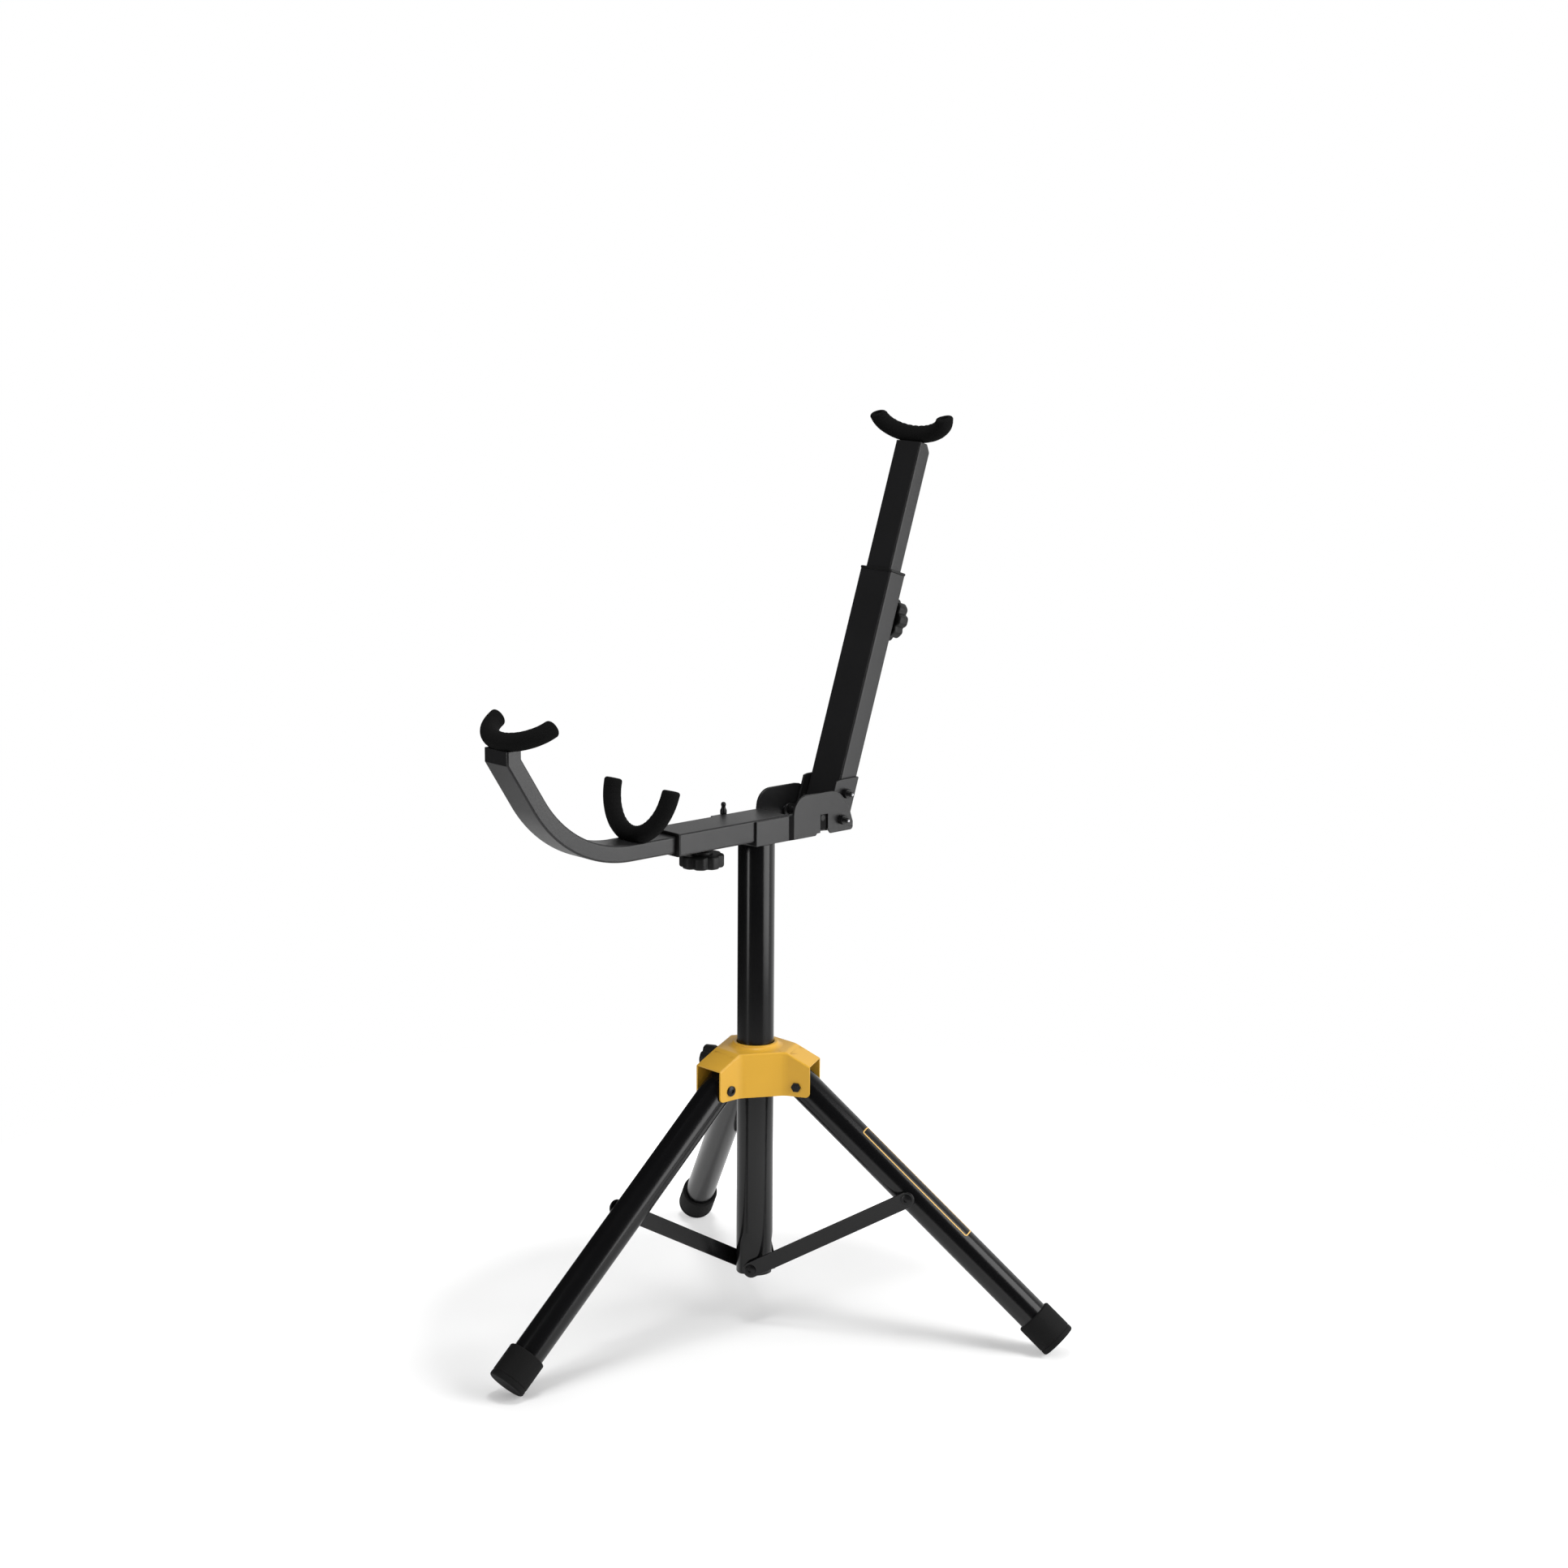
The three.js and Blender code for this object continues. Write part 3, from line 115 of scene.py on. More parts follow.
# The cap in a knob's dish: metres out and dishes down
CAP_EDGE = ((0.0008, 1.0), (0.0, 0.4), (-0.0006, 0.0))
LOBE_SHARPNESS = 3
# The bracket's rounding, in roundings of the tubes' edges
BRACKET_ROUNDING = 1.5
# Balls that round off bolt heads and nuts, as shares of their radius and height
HEAD_BALL = 1.12
NUT_BALL = (1.04, 2.4)
NUT_BALL_RISE = 0.35
THREAD_RIPPLE = 0.14
BEAD_RIPPLE = 0.22
# Shares of a leg pivot bolt's head height
PIVOT_NUT_HEIGHT = 0.8
PIVOT_THREAD = 1.05
# A cross bolt's bare tip, as shares of its radius, and the thread in its head, as a share of the head
BOLT_TIP = (0.55, 0.35)
THREAD_IN_HEAD = 0.9
# Weld beads, as shares of a bead's radius, and metres that the lug's bead stops short
POST_BEAD_OUT = 0.2
POST_BEAD_DOWN = 0.3
THIN_BEAD = 0.6
LUG_BEAD_INSET = 0.001

# The stage: each lamp's place and size, the camera's sensor, the dark side and the floor
LAMPS = {
    "key": ((-0.72, 1.36, 0.80), (1.15, 1.6)),
    "fill": ((1.55, -0.05, 0.80), (0.28, 1.6)),
    "top": ((0.1, 0.3, 3.2), (0.7, 0.7)),
}
LAMP_AIM = Vector((0, 0, 0.6))
SENSOR_WIDTH = 36.0
DARK_START = -0.95
DARK_END = -0.4
FLOOR_RADIUS = 1.2
FLOOR_HEIGHT = -0.0002
FLOOR_GREYS = (0.80, 0.84)
FLOOR_ROUGHNESS = 0.9
FLOOR_GRAIN = {"Scale": 3.0, "Detail": 2.0}
WHITE = (1, 1, 1, 1)
BLACK = (0, 0, 0, 1)

TUBE_IN_LINER = {"socket_liner": "front_arm", "backrest_liner": "backrest_inner_tube"}
# Which finish each CAD node that stays in view takes, by a word in its name
KEPT_NODES = {
    "plastic": ("plug", "insert", "bushing"),
    "black_steel": ("yoke_rod", "clamp_nut"),
    "bright_steel": ("knob_stud",),
}


# Properties

def length(name, description, default):
    """A length in metres."""
    return bpy.props.FloatProperty(
        name=name, description=description, default=default, unit="LENGTH", precision=4)


def angle(name, description, degrees):
    """An angle, given in degrees."""
    return bpy.props.FloatProperty(
        name=name, description=description, default=math.radians(degrees), unit="ROTATION")


def paint(name, description, slot):
    """The base colour of one of the record's finishes."""
    return bpy.props.FloatVectorProperty(
        name=name, description=description, default=PAINTS[slot], subtype="COLOR", min=0.0, max=1.0)


def number(name, description, default):
    """A plain number."""
    return bpy.props.FloatProperty(name=name, description=description, default=default)


class StandTubeSizes(bpy.types.PropertyGroup):
    """Round and rectangular tubes."""

    post_wall: length("Post wall", "Wall of the centre post", 0.0025)
    flat_depth: length("Flat depth", "How deep the post's flats are pressed", 0.003)
    flat_height: length("Flat height", "Length of the post's flats", 0.038)
    flat_ramp: length("Flat ramp", "Length over which a flat runs out", 0.014)
    leg_slope: angle("Leg slope", "Slope of the legs below the level", 41.84)
    leg_head: length("Leg head", "How far a leg runs on past its pivot", 0.014)
    leg_length: length("Leg length", "From the pivot to the end of the foot", 0.4124)
    leg_radius: length("Leg radius", "Outer radius of a leg", 0.018)
    leg_wall: length("Leg wall", "Wall of a leg", 0.002)
    foot_radius: length("Foot radius", "Outer radius of a foot", 0.02175)
    foot_length: length("Foot length", "Length of a foot", 0.041)
    foot_sole: length("Foot sole", "Rubber below the end of the leg", 0.006)
    foot_edge: length("Foot edge", "Rounding of a foot's edges", 0.0022)
    wall: length("Tube wall", "Wall of the rectangular tubes", 0.0015)
    corner: length("Tube corner", "Outer corner radius of the rectangular tubes", 0.0024)
    lip: length("Liner lip", "Height of a liner's lip above its tube", 0.003)
    lip_proud: length("Lip proud", "How far a liner's lip stands out from its tube", 0.0007)
    inner_height: length("Inner height", "Height of the inner rectangular tubes", 0.019)
    edge: length("Edge rounding", "Rounding of cut ends", 0.0004)


class StandTrimSizes(bpy.types.PropertyGroup):
    """The thin painted frame on one leg, left bare inside."""

    width: length("Width", "Width of the frame round the leg", 0.015)
    extent: length("Length", "Length of the frame along the leg", 0.166)
    corner: length("Corner", "Corner radius of the frame", 0.0028)
    line: length("Line", "Width of the painted line", 0.0013)
    lift: length("Lift", "Gap between the paint and the leg", 0.00004)
    thickness: length("Thickness", "Thickness of the paint", 0.00012)
    along: length("Along", "From the leg's pivot to the frame's middle", 0.172)
    turn: angle("Turn", "Turn of the frame round the leg", -12)


class StandArmSizes(bpy.types.PropertyGroup):
    """The bent front arm and the bevelled end of the backrest."""

    tail: length("Tail", "How far the arm starts behind the post", 0.010)
    straight: length("Straight run", "From the socket's mouth to the bend", 0.065)
    bend_radius: length("Bend radius", "Radius of the bend's middle line", 0.1485)
    rise: angle("Rise", "Slope of the slanted run", 57.4)
    slant: length("Slanted run", "Length of the slanted run", 0.0601)
    end: length("Upright end", "Length of the upright end", 0.0123)
    bevel_along: length("Bevel along", "Length of the bevel on the backrest's top", 0.010)
    bevel_depth: length("Bevel depth", "Depth of the bevel on the backrest's top", 0.0078)


class StandHubSizes(bpy.types.PropertyGroup):
    """The pressed hub between the legs."""

    side: length("Half width", "Half the width over a leg's two flanges", 0.0208)
    fold_radius: length("Fold radius", "Where the top folds down over a leg", 0.0422)
    reach: length("Reach", "How far the flanges reach from the post's axis", 0.0715)
    slope: angle("Top slope", "Slope of the top over each leg", 27)
    sheet: length("Sheet", "Thickness of the sheet", 0.0023)
    top_rise: length("Top rise", "Height of the flat top above the pivots", 0.0402)
    drop: length("Drop", "Depth of the flanges below the pivots", 0.0113)
    fold: length("Fold rounding", "Rounding of the upright folds", 0.0045)
    crisp: number("Crisp share", "Share of that rounding on the folds round the top", 0.42)
    corner: length("Flange corner", "Rounding of the flanges' lower corners", 0.005)
    collar_radius: length("Collar radius", "Outer radius of the collar's foot", 0.0318)
    neck: length("Collar neck", "Outer radius of the collar's lip", 0.0260)
    lip_edge: length("Lip edge", "Rounding of the collar's lip", 0.0010)
    opening: length("Opening", "Radius of the lip's opening round the post", 0.0216)
    bore: length("Bore", "Inner radius of the sleeve round the bushing", 0.0240)
    sleeve: length("Sleeve radius", "Outer radius of the sleeve under the collar", 0.0269)
    collar_rise: length("Collar rise", "Height of the collar above the flat top", 0.0045)


class StandYokeSizes(bpy.types.PropertyGroup):
    """The three padded yokes: half-oval rods in foam sleeves."""

    foam_radius: length("Foam radius", "Outer radius of the foam", 0.010)
    foam_edge: length("Foam edge", "Rounding of the foam's ends", 0.0032)
    seat_width: length("Seat width", "Width of the flat where a yoke sits on its tube", 0.0412)
    seat_gap: length("Seat gap", "Gap between the foam and its tube", 0.0003)
    uneven: length("Uneven", "Unevenness of the foam's skin", 0.00014)
    dimple_radius: length("Dimple radius", "Radius of the hollow in a foam end", 0.0042)
    dimple_depth: length("Dimple depth", "Depth of the hollow in a foam end", 0.0022)
    wrinkle: length("Wrinkle", "Height of the creases inside the bend", 0.0004)
    wrinkle_pitch: length("Wrinkle pitch", "Distance between creases", 0.0075)
    front_half_width: length("Front half width", "Half the front yoke's opening", 0.046)
    front_depth: length("Front depth", "Depth of the front yoke", 0.0375)
    front_stand: length("Front stand", "Height of the front yoke's line over the arm's end", 0.0081)
    front_forward: length("Front forward", "Front yoke's place ahead of the arm's end", 0.0025)
    front_tilt: angle("Front tilt", "Tilt of the front yoke", -63.5)
    middle_half_width: length("Middle half width", "Half the middle yoke's opening", 0.049)
    middle_depth: length("Middle depth", "Depth of the middle yoke", 0.056)
    middle_stand: length("Middle stand", "Height of the middle yoke's line over the arm", 0.0055)
    middle_forward: length("Middle forward", "Middle yoke's place ahead of the socket", 0.048)
    middle_tilt: angle("Middle tilt", "Tilt of the middle yoke", -15)
    top_half_width: length("Top half width", "Half the top yoke's opening", 0.054)
    top_depth: length("Top depth", "Depth of the top yoke", 0.024)
    top_stand: length("Top stand", "Height of the top yoke's line over the backrest", 0.010)
    top_forward: length("Top forward", "Top yoke's place ahead of the tube's middle", 0.0007)
    top_tilt: angle("Top tilt", "Tilt of the top yoke against the floor", 20)


class StandKnobSizes(bpy.types.PropertyGroup):
    """The lobed clamp knobs."""

    radius: length("Radius", "Radius over the lobes", 0.025)
    lobes: bpy.props.IntProperty(name="Lobes", description="Number of lobes", default=8, min=3)
    groove: length("Groove", "Depth of the grooves between the lobes", 0.0036)
    neck_radius: length("Neck radius", "Radius of the neck", 0.012)
    neck_height: length("Neck height", "Height of the neck", 0.003)
    rounding: length("Rounding", "Rounding of the lobes' edges", 0.0024)
    dish: length("Dish", "Depth of the dish in the face", 0.0014)
    boss_radius: length("Boss radius", "Radius of the cap in the dish", 0.0085)


class StandFastenerSizes(bpy.types.PropertyGroup):
    """Bolts, nuts, rivets and weld beads."""

    pivot_head: length("Pivot head", "Radius of a leg pivot bolt's head", 0.006)
    pivot_height: length("Pivot head height", "Height of a leg pivot bolt's head", 0.0024)
    pivot_recess: length("Pivot recess", "Radius of the socket in a pivot bolt", 0.0026)
    rivet_head: length("Rivet head", "Radius of a brace rivet's head", 0.0065)
    rivet_height: length("Rivet head height", "Height of a brace rivet's head", 0.0025)
    rivet_recess: length("Rivet recess", "Radius of the hollow in a rivet", 0.0021)
    recess_depth: length("Recess depth", "Depth of sockets and hollows", 0.0014)
    shank: length("Shank", "Radius of bolt and rivet shanks", 0.003)
    nut_radius: length("Nut radius", "Radius over a nut's corners", 0.00577)
    nut_height: length("Nut height", "Height of a nut", 0.006)
    head_height: length("Bolt head height", "Height of a hexagonal head", 0.004)
    pitch: length("Thread pitch", "Distance between thread ridges", 0.001)
    bead: length("Weld bead", "Radius of a weld bead", 0.0019)
    ripple: length("Weld ripple", "Distance between a bead's ripples", 0.0016)
    nut_weld: length("Nut weld", "Radius of the bead round a clamp nut", 0.0079)
    bright_end: length("Bright end", "Bare steel at a cross bolt's end", 0.0006)
    pin_recess: length("Pin recess", "How far the stop pin ends inside the cheek", 0.0020)
    pin_proud: length("Pin proud", "How far the stop pin stands out of its pads", 0.0004)
    # The pads below are dark plates in the cheeks' notches: painted shade standing in for the notch's shadow
    shade_pad_width: length("Pad width", "Width of a stop pad", 0.0106)
    shade_pad_height: length("Pad height", "Height of a stop pad", 0.0175)
    shade_pad_depth: length("Pad depth", "Thickness of a stop pad", 0.0012)
    shade_pad_corner: length("Pad corner", "Corner radius of a stop pad", 0.0008)


class StandFinishes(bpy.types.PropertyGroup):
    """Base colours of the finishes."""

    gloss_black: paint("Gloss black", "Round tubes and braces", "gloss_black")
    textured_black: paint("Textured black", "Arm, backrest and bracket", "textured_black")
    hub_yellow: paint("Hub yellow", "Tripod hub", "hub_yellow")
    foam: paint("Foam", "Sleeves of the yokes", "foam")
    # On the pads in the notches this dark rubber colour is painted shade
    rubber: paint("Rubber", "Feet and stop pads", "rubber")
    plastic: paint("Plastic", "Knobs, liners, bushing, inserts and plugs", "plastic")
    black_steel: paint("Black steel", "Bolts, nuts, rivets, rods and the small stud", "black_steel")
    bright_steel: paint("Bright steel", "Studs of the knobs, ends of the cross bolts", "bright_steel")
    trim: bpy.props.FloatVectorProperty(
        name="Trim", description="Thin painted frame on one leg", default=(0.75, 0.47, 0.14),
        subtype="COLOR", min=0.0, max=1.0)


class StandStudio(bpy.types.PropertyGroup):
    """Camera, lamps and floor."""

    place: bpy.props.FloatVectorProperty(
        name="Camera place", description="Where the camera stands",
        default=(2.1543, 2.4603, 1.2981), subtype="TRANSLATION")
    heading: angle("Heading", "Compass direction of the view, from +X towards +Y", 227.46)
    pitch: angle("Pitch", "How far the view looks down", 11.33)
    roll: angle("Roll", "Turn about the view's own line", 0.393)
    lens: number("Lens", "Focal length in millimetres on a 36 mm sensor", 68.83)
    key: number("Key lamp", "Power of the big lamp on the right, in watts", 23.0)
    fill: number("Fill lamp", "Power of the narrow lamp on the left, in watts", 7.5)
    top: number("Top lamp", "Power of the lamp overhead, in watts", 32.0)
    ambient: number("Ambient", "Strength of the world on matt surfaces", 0.42)
    dark_heading: angle("Dark heading", "Compass direction of the studio's dark side", 5)
    dark_side: number("Dark side", "Strength of the dark side in reflections", 0.02)
    glow_near: number("Glow near", "White that the floor adds beside the stand", 0.20)
    floor_shine: number("Floor shine", "Share of the floor's white in reflections", 0.35)
    glow_start: length("Glow start", "Distance from the stand where the floor starts to turn white", 0.32)
    glow_end: length("Glow end", "Distance from the stand where the floor is all white", 0.66)


GROUPS = {
    "stand_tubes": StandTubeSizes,
    "stand_trim": StandTrimSizes,
    "stand_arm": StandArmSizes,
    "stand_hub": StandHubSizes,
    "stand_yokes": StandYokeSizes,
    "stand_knobs": StandKnobSizes,
    "stand_fasteners": StandFastenerSizes,
    "stand_finishes": StandFinishes,
    "stand_studio": StandStudio,
}


# Places taken from the frame

def anchor(joint):
    """A point on a joint's axis."""
    return Vector(JOINTS[joint]["pos_m"])


def axis_of(joint):
    """The direction of a joint's axis."""
    return Vector(JOINTS[joint]["axis"]).normalized()


def middle(node):
    """The centre of a CAD node's box."""
    low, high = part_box(node)
    return (low + high) / 2


def reach(node, direction, start=None):
    """The nearest and farthest distance of a CAD node's points along a direction."""
    start = start or Vector()
    along = [(vertex.co - start).dot(direction) for vertex in frame["nodes"][node].data.vertices]
    return min(along), max(along)


def run_of(node, place):
    """Where a CAD node starts and ends along a place's Z."""
    return reach(node, place.to_3x3() @ UP, place.translation)


def size_across(node, place):
    """The width and height of a rectangular CAD node across a place's Z."""
    spans = [reach(node, place.to_3x3() @ way) for way in (SIDEWAYS, FORWARD)]
    return [high - low for low, high in spans]


def width_of(node):
    """The size of a CAD node along Y."""
    low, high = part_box(node)
    return high.y - low.y


def facing(origin, direction):
    """A place at an origin whose Z points along a direction."""
    turn = direction.to_track_quat("Z", "Y").to_matrix().to_4x4()
    return Matrix.Translation(origin) @ turn


def post_place():
    """The floor point under the post."""
    return Matrix.Translation((middle("center_post").x, 0, 0))


def leg_turn(side):
    """The turn about Z that points +X along a leg."""
    axis = axis_of(f"leg_fold_{side}")
    return Matrix.Rotation(math.atan2(-axis.x, axis.y), 4, "Z")


def leg_place(side, slope):
    """A leg's own place: +X runs down the leg from its pivot."""
    pivot = Matrix.Translation(anchor(f"leg_fold_{side}"))
    return pivot @ leg_turn(side) @ Matrix.Rotation(slope, 4, "Y")


def socket_place():
    """The middle line of the socket tube over the post's axis, with Z along the arm."""
    height = middle("socket_tube").z
    return post_place() @ Matrix.Translation((0, 0, height)) @ ALONG_X


def backrest_place():
    """The backrest's own place: Z runs up the tube from the bolt it folds on."""
    axis = axis_of("backrest_extension")
    lean = math.atan2(axis.x, axis.z)
    return Matrix.Translation(anchor("backrest_fold")) @ Matrix.Rotation(lean, 4, "Y")


# Meshes

def loft(bm, loops, ring=False):
    """Joins loops of points with faces. A ring joins last and first, otherwise both are capped."""
    rows = [[bm.verts.new(point) for point in loop] for loop in loops]
    pairs = list(zip(rows, rows[1:]))
    if ring:
        pairs.append((rows[-1], rows[0]))
    for low, high in pairs:
        for i, corner in enumerate(low):
            j = (i + 1) % len(low)
            bm.faces.new((corner, low[j], high[j], high[i]))
    if not ring:
        bm.faces.new(reversed(rows[0]))
        bm.faces.new(rows[-1])


def circle(radius, along, steps=ROUND_STEPS):
    """Points round the Z axis."""
    turns = [2 * math.pi * i / steps for i in range(steps)]
    return [Vector((radius * math.cos(t), radius * math.sin(t), along)) for t in turns]


def turned(profile, place, ring=False, steps=ROUND_STEPS):
    """A mesh turned about Z from [radius, distance along] pairs."""
    bm = bmesh.new()
    loft(bm, [[place @ point for point in circle(*pair, steps)] for pair in profile], ring)
    return bm


def arc(centre, radius, start, end, steps):
    """[x, y] points on an arc, with its angles in degrees."""
    turns = [math.radians(start + (end - start) * i / steps) for i in range(steps + 1)]
    return [(centre[0] + radius * math.cos(t), centre[1] + radius * math.sin(t)) for t in turns]


def rectangle(width, height, radius):
    """[x, y] points round a rectangle with round corners; the width lies along Y."""
    x, y = height / 2 - radius, width / 2 - radius
    corners = [((x, y), 0), ((-x, y), 90), ((-x, -y), 180), ((x, -y), 270)]
    return [point for centre, start in corners
            for point in arc(centre, radius, start, start + 90, CORNER_STEPS)]


def section(points, along, place):
    """Outline points as a loop across a place's Z."""
    return [place @ Vector((x, y, along)) for x, y in points]


def extruded(points, start, end, place):
    """A plate from an outline, between two distances along a place's Z."""
    bm = bmesh.new()
    loft(bm, [section(points, start, place), section(points, end, place)])
    return bm


def link(name, mesh):
    """A new object with a mesh, in the scene."""
    piece = bpy.data.objects.new(name, mesh)
    bpy.context.scene.collection.objects.link(piece)
    return piece


def round_edges(piece, width, weighted=False):
    """Rounds a piece's sharp edges, or only the weighted ones."""
    bevel = piece.modifiers.new("Rounding", "BEVEL")
    bevel.width = width
    bevel.segments = CORNER_STEPS if weighted else 2
    bevel.limit_method = "WEIGHT" if weighted else "ANGLE"
    bevel.angle_limit = SHARP_ANGLE
    bevel.use_clamp_overlap = weighted
    bevel.miter_outer = "MITER_ARC" if weighted else "MITER_SHARP"


def even_shading(piece):
    """Keeps large faces flat and edges soft."""
    normals = piece.modifiers.new("Shading", "WEIGHTED_NORMAL")
    normals.keep_sharp = True
    normals.weight = 100


def ride(piece, body, replaced=()):
    """Puts a finished piece under its body and hides the CAD nodes it stands for."""
    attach(piece, body)
    if replaced:
        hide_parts(*replaced)
    return piece


def add_piece(name, bm, body, slot, replaced=(), rounding=0.0):
    """Turns a bmesh into a piece of the stand."""
    bmesh.ops.recalc_face_normals(bm, faces=bm.faces)
    mesh = bpy.data.meshes.new(name)
    bm.to_mesh(mesh)
    bm.free()
    mesh.shade_smooth()
    mesh.materials.append(finish(slot))
    piece = link(name, mesh)
    if rounding:
        round_edges(piece, rounding)
        even_shading(piece)
    else:
        mesh.set_sharp_from_angle(angle=SHARP_ANGLE)
    return ride(piece, body, replaced)


def refined(name, node, body, slot, rounding):
    """A copy of a CAD node's plate or block with its edges rounded."""
    bm = bmesh.new()
    bm.from_mesh(frame["nodes"][node].data)
    bmesh.ops.remove_doubles(bm, verts=bm.verts, dist=MERGE_DISTANCE)
    bmesh.ops.dissolve_limit(bm, angle_limit=FLAT_ANGLE, verts=bm.verts, edges=bm.edges)
    return add_piece(name, bm, body, slot, [node], rounding)


# Finishes

# share: how much of the base colour the coat itself shows, the rest being its shine
# scale, depth and stretch: grains per metre, metres deep and their stretch
# variety: how much the colour varies
Look = namedtuple("Look", "share roughness spread metallic specular kind scale depth stretch variety")
LOOKS = {
    "gloss_black": Look(0.2, 0.20, 0.05, 0.0, 0.38, "NOISE", 420, 0.000015, (1, 1, 1), 0.12),
    "textured_black": Look(0.12, 0.33, 0.05, 0.0, 0.42, "VORONOI", 1500, 0.00007, (1, 1, 1), 0.16),
    "hub_yellow": Look(0.96, 0.34, 0.06, 0.0, 0.35, "NOISE", 480, 0.00003, (1, 1, 1), 0.06),
    "foam": Look(1.0, 0.95, 0.04, 0.0, 0.10, "VORONOI", 1100, 0.00045, (1, 1, 1), 0.30),
    "rubber": Look(0.22, 0.72, 0.12, 0.0, 0.14, "NOISE", 900, 0.00022, (1, 1, 1), 0.22),
    "plastic": Look(0.7, 0.48, 0.10, 0.0, 0.30, "NOISE", 1600, 0.00016, (1, 1, 1), 0.15),
    "black_steel": Look(0.4, 0.30, 0.10, 0.0, 0.28, "NOISE", 700, 0.00003, (1, 1, 4), 0.25),
    "bright_steel": Look(1.0, 0.30, 0.12, 1.0, 0.50, "NOISE", 500, 0.00008, (6, 6, 1), 0.10),
    "trim": Look(1.0, 0.45, 0.08, 0.0, 0.30, "NOISE", 500, 0.00006, (1, 1, 1), 0.08),
}
GRAIN_DETAIL = 2.0
BLOTCH = {"Scale": 14.0, "Detail": 4.0}
FLECK = {"Scale": 650.0, "Detail": 1.0}
FLECK_START = 0.70
FLECK_END = 0.78
FLECK_SHARE = 0.35
FLECK_LIFT = 3


def fill(tree, socket, value):
    """Gives a socket a value, or a link from another socket."""
    if isinstance(value, bpy.types.NodeSocket):
        tree.links.new(value, socket)
    else:
        socket.default_value = value


def wire(tree, kind, sockets=None, **options):
    """Adds a node, sets its options and fills its sockets with values or links."""
    made = tree.nodes.new(kind)
    for option, value in options.items():
        setattr(made, option, value)
    for name, value in (sockets or {}).items():
        fill(tree, made.inputs[name], value)
    return made


def spread(tree, value, low, high, start=0.0, end=1.0):
    """A pattern's value between two ends."""
    made = wire(tree, "ShaderNodeMapRange", {
        "Value": value, "From Min": start, "From Max": end, "To Min": low, "To Max": high})
    return made.outputs["Result"]


def mixed(tree, share, first, second):
    """Two colours mixed by a share."""
    return wire(tree, "ShaderNodeMix", {"Factor": share, 6: first, 7: second}, data_type="RGBA").outputs[2]


def choose(tree, switch, off, on):
    """One value where a switch is 0 and another where it is 1."""
    return wire(tree, "ShaderNodeMix", {0: switch, 2: off, 3: on}, data_type="FLOAT").outputs[0]


def finish(slot):
    """The material of a finish, made once."""
    known = bpy.data.materials.get(slot + "_finish")
    if known:
        return known
    material = bpy.data.materials.new(slot + "_finish")
    material.use_nodes = True
    tree = material.node_tree
    shader = tree.nodes["Principled BSDF"]
    look = LOOKS[slot]
    colour = look.share * Vector(getattr(bpy.context.scene.stand_finishes, slot))

    place = wire(tree, "ShaderNodeTexCoord").outputs["Object"]
    blotch = wire(tree, "ShaderNodeTexNoise", {"Vector": place, **BLOTCH}).outputs["Fac"]
    drawn = wire(tree, "ShaderNodeMapping", {"Vector": place, "Scale": look.stretch}).outputs[0]
    pattern = {"Vector": drawn, "Scale": look.scale}
    if look.kind == "VORONOI":
        grain = wire(tree, "ShaderNodeTexVoronoi", pattern).outputs["Distance"]
    else:
        grain = wire(tree, "ShaderNodeTexNoise", {**pattern, "Detail": GRAIN_DETAIL}).outputs["Fac"]
    flecks = wire(tree, "ShaderNodeTexNoise", {"Vector": place, **FLECK}).outputs["Fac"]
    fleck = spread(tree, flecks, 0.0, FLECK_SHARE, FLECK_START, FLECK_END)

    dark, light, pale = [(*(colour * (1 + times * look.variety)), 1) for times in (-1, 1, FLECK_LIFT)]
    ground = mixed(tree, blotch, dark, light)
    tree.links.new(mixed(tree, fleck, ground, pale), shader.inputs["Base Color"])
    gloss = spread(tree, blotch, look.roughness - look.spread, look.roughness + look.spread)
    tree.links.new(gloss, shader.inputs["Roughness"])
    bump = wire(tree, "ShaderNodeBump", {"Height": grain, "Distance": look.depth, "Strength": 1.0})
    tree.links.new(bump.outputs["Normal"], shader.inputs["Normal"])
    shader.inputs["Metallic"].default_value = look.metallic
    shader.inputs["Specular IOR Level"].default_value = look.specular
    return material


# Geometry Nodes for what repeats

def new_tree(name, lengths):
    """A geometry tree with named lengths and a material as its inputs."""
    tree = bpy.data.node_groups.new(name, "GeometryNodeTree")
    face = tree.interface
    face.new_socket("Geometry", in_out="INPUT", socket_type="NodeSocketGeometry")
    for label in lengths:
        face.new_socket(label, in_out="INPUT", socket_type="NodeSocketFloat")
    face.new_socket("Material", in_out="INPUT", socket_type="NodeSocketMaterial")
    face.new_socket("Geometry", in_out="OUTPUT", socket_type="NodeSocketGeometry")
    return tree, wire(tree, "NodeGroupInput").outputs


def calc(tree, operation, first, second=0.0):
    """One sum on two values or links."""
    return wire(tree, "ShaderNodeMath", {0: first, 1: second}, operation=operation).outputs[0]


def moved(tree, geometry, along=0.0, flatten=1.0):
    """A geometry moved along Z and stretched along it."""
    shift = wire(tree, "ShaderNodeCombineXYZ", {"Z": along})
    scale = wire(tree, "ShaderNodeCombineXYZ", {"X": 1.0, "Y": 1.0, "Z": flatten})
    return wire(tree, "GeometryNodeTransform", {
        "Geometry": geometry, "Translation": shift.outputs[0], "Scale": scale.outputs[0]}).outputs[0]


def cylinder(tree, vertices, radius, depth, base):
    """A cylinder that stands on a height."""
    values = {"Vertices": vertices, "Radius": radius, "Depth": depth}
    made = wire(tree, "GeometryNodeMeshCylinder", values)
    half = calc(tree, "MULTIPLY", depth, 0.5)
    return moved(tree, made.outputs["Mesh"], calc(tree, "ADD", base, half))


def crown(tree, radius, height):
    """A flattened ball whose top is at a height."""
    ball = wire(tree, "GeometryNodeMeshUVSphere", {**BALL_STEPS, "Radius": radius})
    return moved(tree, ball.outputs["Mesh"], 0.0, calc(tree, "DIVIDE", height, radius))


